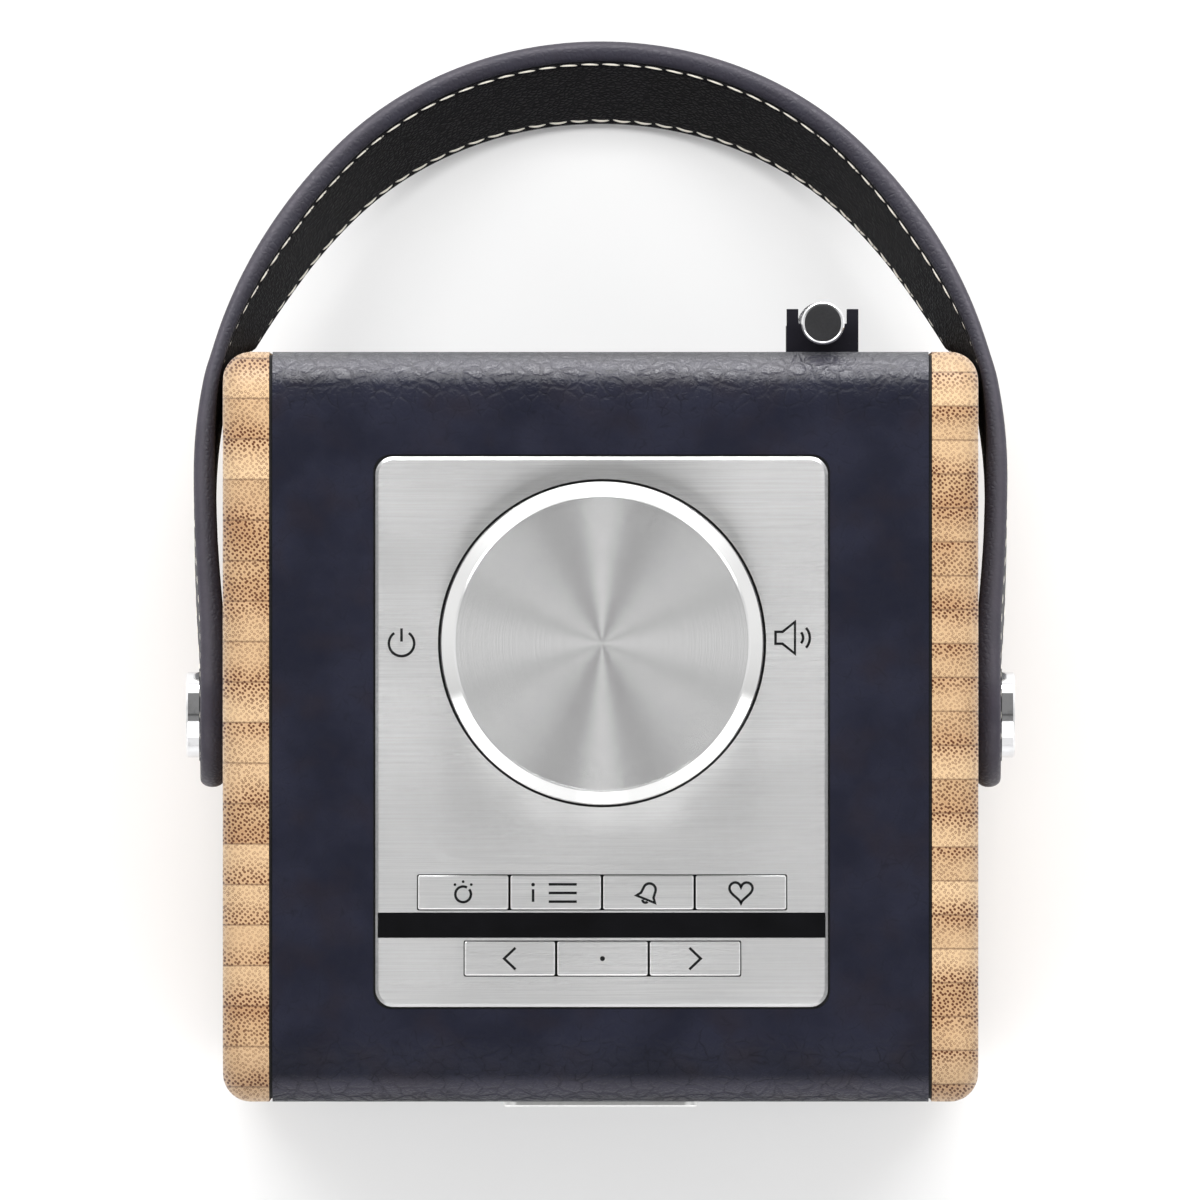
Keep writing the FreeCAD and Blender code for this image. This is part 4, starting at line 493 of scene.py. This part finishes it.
FINISHES = {
    "leather": leather("navy_leather", colour(29, 30, 41), colour(22, 23, 33), colour(29, 26, 32)),
    "lining": pebbled(
        "lining_leather", colour(13, 12, 17), colour(8, 7, 10), pebble=1.0, depth=0.12, roughness=0.6
    ),
    "shell_plastic": moulded("shell_black", (0.020, 0.020, 0.022)),
    "deck_plastic": moulded("deck_black", (0.010, 0.010, 0.011), 0.6),
    "rubber": moulded("rubber_black", (0.012, 0.012, 0.013), 0.75, grain=0.4, depth=0.03, level=0.3),
    "rear_plastic": moulded("rear_black", (0.006, 0.0055, 0.009), 0.48, grain=0.3, depth=0.03, level=0.22),
    "socket": moulded("socket_black", (0.008, 0.008, 0.009), 0.35, grain=0.5, depth=0.01),
    "battery": moulded("battery_sleeve", (0.10, 0.11, 0.13), 0.4, grain=1.5, depth=0.01),
    "baffle_board": moulded("fibre_board", (0.16, 0.10, 0.055), 0.8, grain=0.5, depth=0.08, level=0.2),
    "magnet": moulded("ferrite", (0.028, 0.028, 0.030), 0.55, grain=0.4, depth=0.03),
    "cone_paper": moulded("cone_paper", (0.022, 0.022, 0.024), 0.9, grain=0.6, depth=0.08, level=0.1),
    "brushed": brushed("brushed_plate", 0.985),
    "button_metal": brushed("brushed_keys", 0.99),
    "spun": spun("spun_dial"),
    "grille_metal": metal("grille_paint", (0.055, 0.055, 0.062), 0.42),
    "badge_metal": metal("badge_metal", (0.88, 0.88, 0.87), 0.28),
    "chrome": metal("chrome", (0.78, 0.78, 0.79), 0.06, wear=0.03),
    "steel": metal("zinc_steel", (0.56, 0.56, 0.57), 0.3),
    "brass": metal("brass", (0.72, 0.50, 0.22), 0.28),
    "copper": moulded("lead_insulation", (0.30, 0.02, 0.015), 0.4, grain=0.6, depth=0.01),
    "cloth": woven("grille_cloth", (0.010, 0.010, 0.012), thread=0.55),
    "board": laminate("circuit_board", (0.010, 0.075, 0.030), (0.03, 0.14, 0.06)),
    "display_glass": glossy("window_black", 0.003),
}
LEFT_BAMBOO = bamboo("bamboo_left", pitch=7.5, start=-66.7, seed=3.0)
RIGHT_BAMBOO = bamboo("bamboo_right", pitch=6.28, start=-66.2, seed=40.0)


def finish_cad_nodes():
    """Gives every CAD node the material of its slot."""
    for name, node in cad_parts.items():
        for holder in node.material_slots:
            slot_name = holder.material.name.split(".")[0]
            if slot_name == "bamboo":
                holder.material = LEFT_BAMBOO if name.endswith("left") else RIGHT_BAMBOO
            else:
                holder.material = FINISHES[slot_name]


# ---------------------------------------------------------------- new pieces

WELD_DISTANCE = 0.0005


def finished_object(name, mesh, material, body, smooth=True):
    """Turns a bmesh in millimetres into an object that rides on a body."""
    bmesh.ops.remove_doubles(mesh, verts=mesh.verts, dist=WELD_DISTANCE)
    bmesh.ops.recalc_face_normals(mesh, faces=mesh.faces)
    bmesh.ops.scale(mesh, vec=(MM, MM, MM), verts=mesh.verts)
    data = bpy.data.meshes.new(name)
    mesh.to_mesh(data)
    mesh.free()
    data.polygons.foreach_set("use_smooth", [smooth] * len(data.polygons))
    data.materials.append(material)
    piece = bpy.data.objects.new(name, data)
    scene.collection.objects.link(piece)
    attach(piece, body)
    return piece


def bridge(mesh, first, second, closed=True):
    """Quads between two rings of vertices."""
    last = len(first) if closed else len(first) - 1
    for i in range(last):
        j = (i + 1) % len(first)
        corners = (first[i], first[j], second[j], second[i])
        if len(set(corners)) == 4:
            mesh.faces.new(corners)


# ---------------------------------------------------------------- strap

# The strap is laid out as distances out from its middle and along from its pivot, and then tilted down.
PIVOT = middle("strap_eyelets")
DROOP = math.radians(28.5)
STRAP_HALF = 13.5
STRAP_THICKNESS = 4.1
# Its outer face turns about the crown, then more gently down each side, and bends in to its foot.
CROWN_RADIUS = 66.0
CROWN_TOP = 136.9
CROWN_TURN = math.radians(48)
SIDE_RADIUS = 104.2
FOOT_OUT = 74.6
FOOT_START = 6.0
END_STEPS = 14
# The leather is fuller near the foot, and squeezed where it passes the cabinet's corner.
FOOT_REACH = 35.0
FOOT_GAIN = 0.09
CORNER_ALONG = 72.0
CORNER_LOSS = 0.32
THICKNESS_CHANGE = 30.0
# It is pushed out to keep this gap beside the panels and round their rear edges, and closes in behind them.
PANEL_ROUNDING = 5.2
STRAP_GAP = 0.3
BEHIND_SLOPE = 2
# The push sets in from this distance along, over this length, and as softly as this.
HUG_START = 12.0
HUG_CHANGE = 20.0
HUG_SOFTNESS = 1.0


def ease(value):
    """0 below 0, 1 above 1 and smooth between."""
    held = min(max(value, 0.0), 1.0)
    return held * held * (3 - 2 * held)


def arc_stations(centre, radius, start, end, step):
    """Stations round a centre (out, along), where an angle of 0 faces straight along the strap."""
    count = round(radius * (end - start) / step)
    stations = []
    for i in range(count):
        angle = start + (end - start) * i / count
        away = (math.sin(angle), math.cos(angle))
        stations.append((centre[0] + radius * away[0], centre[1] + radius * away[1], *away, 0.0))
    return stations


def strap_stations(step=1.4):
    """Stations down one side of the strap, from its crown to its rounded end.

    Each is the outer face's place (out, along), its outward normal, and its turn about the stud.
    """
    crown = (0.0, CROWN_TOP - CROWN_RADIUS)
    shift = CROWN_RADIUS - SIDE_RADIUS
    side = (shift * math.sin(CROWN_TURN), crown[1] + shift * math.cos(CROWN_TURN))
    stations = arc_stations(crown, CROWN_RADIUS, 0.0, CROWN_TURN, step)
    stations += arc_stations(side, SIDE_RADIUS, CROWN_TURN, math.pi / 2, step)
    widest, bend_start = side[0] + SIDE_RADIUS, side[1]
    count = round(bend_start / step)
    for i in range(count + 1):
        along = bend_start * (1 - i / count)
        share = ease((along - FOOT_START) / (bend_start - FOOT_START))
        stations.append((FOOT_OUT + (widest - FOOT_OUT) * share, along, 1.0, 0.0, 0.0))
    for i in range(1, END_STEPS + 1):
        stations.append((FOOT_OUT, 0.0, 1.0, 0.0, math.pi / 2 * i / END_STEPS))
    return stations


def beside_cabinet(back):
    """How far out the strap's inner face stays beside and behind the cabinet, at that distance back."""
    start = PANEL_HIGH.y - PANEL_ROUNDING
    reach = PANEL_ROUNDING + STRAP_GAP
    if back <= start:
        return PANEL_HIGH.x + STRAP_GAP
    if back >= start + reach:
        return PANEL_HIGH.x - PANEL_ROUNDING - BEHIND_SLOPE * (back - start - reach)
    return PANEL_HIGH.x - PANEL_ROUNDING + math.sqrt(reach ** 2 - (back - start) ** 2)


def slimness(along):
    """The strap's share of its usual thickness."""
    foot = ease((FOOT_REACH - along) / THICKNESS_CHANGE)
    corner = ease(1.0 - abs(along - CORNER_ALONG) / THICKNESS_CHANGE)
    return 1.0 + FOOT_GAIN * foot - CORNER_LOSS * corner


def strap_point(station, depth, across):
    """A point of the strap's right side: depth below the outer face, across its width."""
    out, along, out_normal, along_normal, turn = station
    slim = slimness(along)
    along_there = along - along_normal * depth * slim - abs(across) * math.sin(turn)
    across_there = across * math.cos(turn)
    back = PIVOT.y + along_there * math.cos(DROOP) + across_there * math.sin(DROOP)
    up = PIVOT.z - along_there * math.sin(DROOP) + across_there * math.cos(DROOP)
    clearance = out - out_normal * STRAP_THICKNESS * slim - beside_cabinet(back)
    push = (math.hypot(clearance, HUG_SOFTNESS) - clearance) / 2
    hug = ease((along - HUG_START) / HUG_CHANGE) * ease(out / HUG_CHANGE)
    return Vector((out - out_normal * depth * slim + push * hug, back, up))


STITCH_INSET = 2.8
STITCH_LINE = STRAP_HALF - STITCH_INSET
GROOVE_HALF = 0.5
GROOVE_WALL = 0.2
CORNER_STEPS = 10


def strap_section(top, bottom, half, rounding, groove):
    """The outline of one strap layer as (depth, across, edge) points, edge being 1 on the cut edge."""
    flat = half - rounding
    wall_out = GROOVE_HALF + GROOVE_WALL
    wall_in = GROOVE_HALF - GROOVE_WALL
    places = {round(share * STITCH_LINE, 4) for share in (0.0, 0.25, 0.5, 0.75, 0.9)}
    places |= {STITCH_LINE - wall_out, STITCH_LINE - wall_in, STITCH_LINE + wall_in, flat}
    line = [-place for place in sorted(places, reverse=True) if place > 0] + sorted(places)

    def dip(place):
        return groove if abs(abs(place) - STITCH_LINE) < GROOVE_HALF else 0.0

    # The paler edge paint shows fully toward the outer face and fades toward the inner face, where the edge
    # is painted darker as shade.
    def painted(depth):
        return 1.0 - 0.65 * ease(((depth - top) / (bottom - top) - 0.35) / 0.3)

    def cut_edge(side):
        points = []
        for i in range(1, CORNER_STEPS):
            angle = math.pi * i / CORNER_STEPS
            depth = (top + bottom) / 2 - side * (bottom - top) / 2 * math.cos(angle)
            points.append((depth, side * (flat + rounding * math.sin(angle)), painted(depth)))
        return points

    upper = [(top + dip(place), place, 0.0) for place in line]
    lower = [(bottom - dip(place), place, 0.0) for place in reversed(line)]
    return upper + cut_edge(1) + lower + cut_edge(-1)


def strap_layer(name, outline, material):
    """One strap layer, swept from the crown to the rounded end and mirrored to the other side."""
    mesh = bmesh.new()
    edge = mesh.verts.layers.float.new("edge")
    stations = strap_stations()
    for side in (1, -1):
        rings = []
        for station in stations:
            ring = []
            for depth, across, painted in outline:
                place = strap_point(station, depth, across)
                vert = mesh.verts.new((side * place.x, place.y, place.z))
                vert[edge] = painted
                ring.append(vert)
            rings.append(ring)
        for first, second in zip(rings, rings[1:]):
            bridge(mesh, first, second)
    return finished_object(name, mesh, material, "handle")


def stitch_path(depth):
    """A closed line of (place, normal) pairs along both edges of the strap and round its ends."""
    down = strap_stations(0.5)

    def pair(station, across, side):
        low = strap_point(station, depth, across)
        high = strap_point(station, depth - 1.0, across)
        normal = (high - low).normalized()
        return Vector((side * low.x, low.y, low.z)), Vector((side * normal.x, normal.y, normal.z))

    right = [pair(station, STITCH_LINE, 1) for station in down]
    back = [pair(station, -STITCH_LINE, 1) for station in reversed(down)]
    left = [pair(station, -STITCH_LINE, -1) for station in down]
    home = [pair(station, STITCH_LINE, -1) for station in reversed(down)]
    return right + back + left + home


THREAD_RADIUS = 0.25
# The share of its radius that a thread keeps at its ends.
THREAD_END = 0.75
THREAD_SIDES = 7


def add_thread(mesh, centres):
    """A short round thread through the centres, thinner at its ends."""
    rings = []
    for i, centre in enumerate(centres):
        forward = (centres[min(i + 1, len(centres) - 1)] - centres[max(i - 1, 0)]).normalized()
        right = forward.orthogonal().normalized()
        up = forward.cross(right)
        radius = THREAD_RADIUS * (THREAD_END if i in (0, len(centres) - 1) else 1.0)
        ring = []
        for j in range(THREAD_SIDES):
            angle = math.tau * j / THREAD_SIDES
            ring.append(mesh.verts.new(centre + radius * (math.cos(angle) * right + math.sin(angle) * up)))
        rings.append(ring)
    for first, second in zip(rings, rings[1:]):
        bridge(mesh, first, second)
    mesh.faces.new(rings[0])
    mesh.faces.new(rings[-1])


STITCH_PITCH = 4.0
STITCH_LENGTH = 3.2
STITCH_STEPS = 8
STITCH_RISE = 0.20
STITCH_SLANT = 0.30
STITCH_SWAY = 0.28
LOOK_AHEAD = 0.1
# In front of this line the strap runs beside the cabinet, where its inner thread is pressed in.
BESIDE = 84.0
BESIDE_CHANGE = 12.0


def add_stitches(mesh, depth, outward, sink, tuck):
    """Saddle stitches on one face, each a short thread that dives into the leather at both ends."""
    chance = random.Random(7)
    path = stitch_path(depth)
    travelled = [0.0]
    for (first, _), (second, _) in zip(path, path[1:]):
        travelled.append(travelled[-1] + (second - first).length)
    count = round(travelled[-1] / STITCH_PITCH)
    step = travelled[-1] / count

    def at(distance):
        distance = min(max(distance, 0.0), travelled[-1])
        low = min(bisect.bisect_right(travelled, distance), len(path) - 1) - 1
        share = (distance - travelled[low]) / max(travelled[low + 1] - travelled[low], 1e-9)
        place = path[low][0].lerp(path[low + 1][0], share)
        normal = path[low][1].lerp(path[low + 1][1], share).normalized()
        return place, normal

    for i in range(count):
        start = i * step + (step - STITCH_LENGTH) / 2
        swing = chance.uniform(0.75, 1.1)
        centres = []
        for j in range(STITCH_STEPS + 1):
            share = j / STITCH_STEPS
            place, normal = at(start + share * STITCH_LENGTH)
            ahead = (at(start + share * STITCH_LENGTH + LOOK_AHEAD)[0] - place).normalized()
            aside = normal.cross(ahead)
            bulge = math.sin(math.pi * share)
            lift = STITCH_RISE * bulge - sink - tuck * ease((BESIDE - place.y) / BESIDE_CHANGE)
            slant = STITCH_SLANT * (share - 0.5) - STITCH_SWAY * bulge
            centres.append(place + outward * normal * lift + aside * slant * swing)
        add_thread(mesh, centres)


LINING_SINK = 0.7
LINING_RISE = 0.12
LINING_INSET = 1.4


def make_strap():
    """The strap's leather body, its lining and the saddle stitching on both faces."""
    outline = strap_section(0.0, STRAP_THICKNESS, STRAP_HALF, rounding=1.5, groove=0.18)
    finish = strap_finish("strap_leather_paint", colour(34, 34, 43), colour(24, 24, 32), colour(54, 50, 60))
    strap = strap_layer("strap_body", outline, finish)
    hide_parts("strap_leather")
    top = STRAP_THICKNESS - LINING_SINK
    bottom = STRAP_THICKNESS + LINING_RISE
    outline = strap_section(top, bottom, STRAP_HALF - LINING_INSET, rounding=0.4, groove=0.12)
    lining = strap_layer("strap_inner_lining", outline, FINISHES["lining"])
    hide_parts("strap_lining")
    mesh = bmesh.new()
    add_stitches(mesh, depth=0.12, outward=1.0, sink=0.24, tuck=0.0)
    add_stitches(mesh, depth=STRAP_THICKNESS + 0.02, outward=-1.0, sink=0.16, tuck=0.26)
    finished_object("strap_stitching", mesh, thread_finish("waxed_thread"), "handle")


# ---------------------------------------------------------------- printed symbols

INK_WIDTH = 0.48
INK_HEIGHT = 0.025
INK = moulded("symbol_ink", (0.004, 0.004, 0.0045), 0.6, grain=0.3, depth=0.005, level=0.12)
NARROWEST_MITRE = 0.5


def arc(radius, start, end, centre=(0.0, 0.0), steps=28):
    """Points along an arc, with its angles in degrees."""
    angles = [math.radians(start + (end - start) * i / steps) for i in range(steps + 1)]
    return [(centre[0] + radius * math.cos(a), centre[1] + radius * math.sin(a)) for a in angles]


def turned(line, degrees):
    """The line turned about its own origin."""
    cos, sin = math.cos(math.radians(degrees)), math.sin(math.radians(degrees))
    return [(x * cos - y * sin, x * sin + y * cos) for x, y in line]


def ribbon(mesh, line, origin, closed=False, width=INK_WIDTH):
    """A flat raised line with mitred corners, drawn about the origin (x, y, z)."""
    count = len(line)
    sides = ([], [])
    for i, point in enumerate(line):
        here = Vector(point)
        before = Vector(line[i - 1]) if closed or i > 0 else None
        after = Vector(line[(i + 1) % count]) if closed or i < count - 1 else None
        way_in = (here - before).normalized() if before else (after - here).normalized()
        way_out = (after - here).normalized() if after else way_in
        normal_in = Vector((-way_in.y, way_in.x))
        normal_out = Vector((-way_out.y, way_out.x))
        mitre = (normal_in + normal_out).normalized()
        offset = mitre * (width / 2 / max(mitre.dot(normal_in), NARROWEST_MITRE))
        sides[0].append(here + offset)
        sides[1].append(here - offset)
    x, y, z = origin
    layers = []
    for side, height in ((0, INK_HEIGHT), (1, INK_HEIGHT), (1, -INK_HEIGHT), (0, -INK_HEIGHT)):
        layers.append([mesh.verts.new((x + p.x, y + p.y, z + height)) for p in sides[side]])
    for first, second in zip(layers, layers[1:] + layers[:1]):
        bridge(mesh, first, second, closed)
    if not closed:
        for end in (0, -1):
            mesh.faces.new([layer[end] for layer in layers])


def dot(mesh, place, origin, radius):
    """A filled round dot."""
    ribbon(mesh, arc(radius / 2, 0, 345, place, 15), origin, True, radius)


def draw_power(mesh, origin):
    """A ring open at the top, with an upright line in its gap."""
    ribbon(mesh, arc(2.35, 125, 415, (0, -0.25)), origin)
    ribbon(mesh, [(0, 0.1), (0, 2.55)], origin)


def draw_speaker(mesh, origin):
    """A loudspeaker with two sound waves."""
    horn = [(-3.1, -1.1), (-1.8, -1.1), (0.5, -2.95), (0.5, 2.95), (-1.8, 1.1), (-3.1, 1.1)]
    ribbon(mesh, horn, origin, True)
    ribbon(mesh, arc(1.5, -42, 42, (0.5, 0)), origin)
    ribbon(mesh, arc(2.75, -42, 42, (0.5, 0)), origin)


def draw_timer(mesh, origin):
    """A clock's open ring with three dots over it."""
    ribbon(mesh, arc(1.45, 60, 400, (0, -0.35)), origin)
    for place in arc(2.35, 50, 130, (0, -0.35), 2):
        dot(mesh, place, origin, 0.26)


def draw_menu(mesh, origin):
    """The letter i beside three lines."""
    dot(mesh, (-4.2, 1.45), origin, 0.34)
    ribbon(mesh, [(-4.2, 0.6), (-4.2, -1.75)], origin)
    for row in (1.5, -0.1, -1.7):
        ribbon(mesh, [(-1.3, row), (3.9, row)], origin)


def draw_bell(mesh, origin):
    """A tilted bell with its clapper."""
    side = [(1.85, -1.35), (1.25, -0.55), (1.15, 0.55)]
    crown = arc(1.15, 0, 180, (0, 0.55), 14)
    outline = side + crown[1:-1] + [(-x, y) for x, y in reversed(side)]
    ribbon(mesh, turned(outline, -22), origin, True)
    ribbon(mesh, turned(arc(0.55, 200, 340, (0, -1.45), 10), -22), origin)


def draw_heart(mesh, origin):
    """A heart's outline, from the usual sum of cosines."""
    line = []
    for i in range(36):
        angle = math.tau * i / 36
        waves = sum(size * math.cos(turn * angle) for turn, size in enumerate((13, -5, -2, -1), 1))
        line.append((2.15 * math.sin(angle) ** 3, 0.134 * waves + 0.25))
    ribbon(mesh, line, origin, True)


def draw_back(mesh, origin):
    """An arrowhead to the left."""
    ribbon(mesh, [(1.05, 2.0), (-1.05, 0), (1.05, -2.0)], origin)


def draw_select(mesh, origin):
    """A round dot."""
    dot(mesh, (0, 0), origin, 0.46)


def draw_forward(mesh, origin):
    """An arrowhead to the right."""
    ribbon(mesh, [(-1.05, 2.0), (1.05, 0), (-1.05, -2.0)], origin)


KEY_SYMBOLS = {
    "timer": draw_timer,
    "menu": draw_menu,
    "alarm": draw_bell,
    "favourite": draw_heart,
    "previous": draw_back,
    "select": draw_select,
    "next": draw_forward,
}


# The symbols on the plate: in from its left or right end, and back from the dial's middle.
POWER_PLACE = (4.85, 0.2)
VOLUME_PLACE = (6.6, 1.0)


def make_symbols():
    """Printed symbols beside the dial and on each key."""
    dial = middle("volume_dial")
    power = (PLATE_LOW.x + POWER_PLACE[0], dial.y + POWER_PLACE[1], PLATE_HIGH.z)
    volume = (PLATE_HIGH.x - VOLUME_PLACE[0], dial.y + VOLUME_PLACE[1], PLATE_HIGH.z)
    symbols = [("power", draw_power, power, "cabinet"), ("volume", draw_speaker, volume, "cabinet")]
    for key, draw in KEY_SYMBOLS.items():
        top = middle("button_" + key)
        top.z = millimetres("button_" + key)[1].z
        symbols.append((key, draw, top, f"button_{key}_key"))
    for name, draw, origin, body in symbols:
        mesh = bmesh.new()
        draw(mesh, origin)
        finished_object(name + "_symbol", mesh, INK, body, False)


# ---------------------------------------------------------------- antenna cap

CAP_DOME = 0.14
CAP_SIDES = 48
# Each ring's radius and its height over the tip's end, out to where the insert sinks below it.
CAP_PROFILE = [(1.2, 0.9 * CAP_DOME), (2.5, 0.5 * CAP_DOME), (3.3, 0.06), (3.58, -0.12)]


def make_antenna_cap():
    """The black insert in the end of the antenna's tip."""
    centre = middle("antenna_tip")
    top = millimetres("antenna_tip")[1].z
    mesh = bmesh.new()
    rings = []
    for radius, rise in CAP_PROFILE:
        ring = []
        for i in range(CAP_SIDES):
            angle = math.tau * i / CAP_SIDES
            spot = (centre.x + radius * math.cos(angle), centre.y + radius * math.sin(angle), top + rise)
            ring.append(mesh.verts.new(spot))
        rings.append(ring)
    for first, second in zip(rings, rings[1:]):
        bridge(mesh, first, second)
    tip = mesh.verts.new((centre.x, centre.y, top + CAP_DOME))
    for i in range(CAP_SIDES):
        mesh.faces.new((tip, rings[0][i], rings[0][(i + 1) % CAP_SIDES]))
    mesh.faces.new(rings[-1])
    finished_object("antenna_cap", mesh, FINISHES["rubber"], "antenna_end")


# ---------------------------------------------------------------- seam beads

# How far below the leather's face the dark bead beside each bamboo panel starts and ends.
SEAM_TOP = 0.6
SEAM_BOTTOM = 1.5
CABINET_ROUNDING = 12


def seam_line(inset):
    """The leather's outline seen from the side (y, z), drawn in by an inset."""
    rear = LEATHER_HIGH.y - CABINET_ROUNDING
    front = LEATHER_LOW.y + CABINET_ROUNDING
    upper = LEATHER_HIGH.z - CABINET_ROUNDING
    lower = LEATHER_LOW.z + CABINET_ROUNDING
    line = []
    for turn, centre in enumerate(((rear, upper), (front, upper), (front, lower), (rear, lower))):
        line += arc(CABINET_ROUNDING - inset, 90 * turn, 90 * turn + 90, centre, 14)
    return line


def make_seam_beads():
    """Thin dark beads that close the gap between the leather and the bamboo panels."""
    start = LEATHER_HIGH.x
    end = PANEL_LOW.x
    corners = ((start, SEAM_BOTTOM), (start, SEAM_TOP), (end, SEAM_TOP), (end, SEAM_BOTTOM))
    mesh = bmesh.new()
    for side in (-1, 1):
        rings = []
        for across, inset in corners:
            rings.append([mesh.verts.new((side * across, y, z)) for y, z in seam_line(inset)])
        for first, second in zip(rings, rings[1:] + rings[:1]):
            bridge(mesh, first, second)
    finished_object("seam_beads", mesh, FINISHES["rubber"], "cabinet")


# ---------------------------------------------------------------- studio

FLOOR_RADIUS = 12000
FLOOR_GREYS = (0.66, 0.68)
FLOOR_GLOW = 0.155


def add_floor():
    """A plain pale floor that glows faintly."""
    mesh = bmesh.new()
    bmesh.ops.create_circle(mesh, cap_ends=True, segments=96, radius=FLOOR_RADIUS * MM)
    data = bpy.data.meshes.new("floor")
    mesh.to_mesh(data)
    mesh.free()
    paint = Paint("floor_paper", Roughness=0.9, Specular_IOR_Level=0.1)
    speck = paint.noise(paint.place(), 30.0, 2.0)
    paint.set(Base_Color=paint.mix(speck, *[grey(tone) for tone in FLOOR_GREYS]))
    paint.set(Emission_Color=grey(1.0), Emission_Strength=FLOOR_GLOW)
    data.materials.append(paint.material)
    floor = bpy.data.objects.new("floor", data)
    scene.collection.objects.link(floor)


# How bright the sky overhead is, from straight in front or behind (0) to straight beside (1).
SECTORS = [
    (0.0, 0.95),
    (0.11, 0.93),
    (0.17, 0.46),
    (0.42, 0.50),
    (0.56, 0.80),
    (0.71, 1.05),
    (0.9, 1.8),
    (1.0, 3.3),
]
# How far up a direction points, from level (0) to straight up (1), where the walls turn into the sky.
WALLS_TO_SKY = (0.43, 0.50)
# Where each change starts and ends, and the brightness on either side of it.
SKY_TO_ROOF = (0.986, 0.9965, 1.0, 0.01)
FRONT_TO_REAR_SKY = (-0.37, -0.27, 2.9, 0.30)
FRONT_TO_REAR_WALLS = (-1.0, 1.0, 0.54, 1.3)
MIDDLE_TO_SIDE_WALLS = (0.4, 0.95, 1.9, 0.95)
BACKDROP = 0.97


def add_studio():
    """Soft light from all round: walls, and a sky in wide sectors, brightest in front and dark at its top."""
    world = bpy.data.worlds.new("studio")
    world.use_nodes = True
    scene.world = world
    graph = Graph(world.node_tree)
    background = world.node_tree.nodes["Background"]
    background.inputs["Color"].default_value = grey(1.0)
    x, y, z = graph.split(graph.add("TexCoord").outputs["Generated"])
    level = graph.calc("MAXIMUM", graph.reach(x, y), 0.001)
    side = graph.calc("DIVIDE", graph.calc("ABSOLUTE", x), level)
    sectors = graph.ramp(side, SECTORS)
    dimmed = graph.calc("MULTIPLY", sectors, graph.remap(z, *SKY_TO_ROOF))
    overhead = graph.calc("MULTIPLY", dimmed, graph.remap(y, *FRONT_TO_REAR_SKY))
    across = graph.remap(side, *MIDDLE_TO_SIDE_WALLS)
    walls = graph.calc("MULTIPLY", across, graph.remap(y, *FRONT_TO_REAR_WALLS))
    light = graph.between(graph.remap(z, *WALLS_TO_SKY), walls, overhead)
    seen = graph.add("LightPath").outputs["Is Camera Ray"]
    graph.feed(background.inputs["Strength"], graph.between(seen, light, BACKDROP))


def add_panel(name, place, aim, size, power, reflected):
    """One soft light panel, in millimetres, that only shows in reflections or only lights matt surfaces."""
    data = bpy.data.lights.new(name, "AREA")
    data.shape = "RECTANGLE"
    data.size, data.size_y = (side * MM for side in size)
    data.energy = power
    panel = bpy.data.objects.new(name, data)
    panel.location = Vector(place) * MM
    panel.rotation_euler = (Vector(aim) - Vector(place)).to_track_quat("-Z", "Y").to_euler()
    panel.visible_camera = False
    panel.visible_glossy = reflected
    panel.visible_diffuse = not reflected
    scene.collection.objects.link(panel)


scene.view_settings.view_transform = "Standard"
add_camera()
finish_cad_nodes()
make_strap()
make_symbols()
make_antenna_cap()
make_seam_beads()
add_floor()
add_studio()
LIGHT_AIM = (0, 0, 100)
add_panel("rear_panel_light", (0, 560, 970), LIGHT_AIM, (1500, 420), power=16, reflected=False)
add_panel("rear_strip_light", (0, 1000, 240), LIGHT_AIM, (1600, 200), power=12, reflected=True)
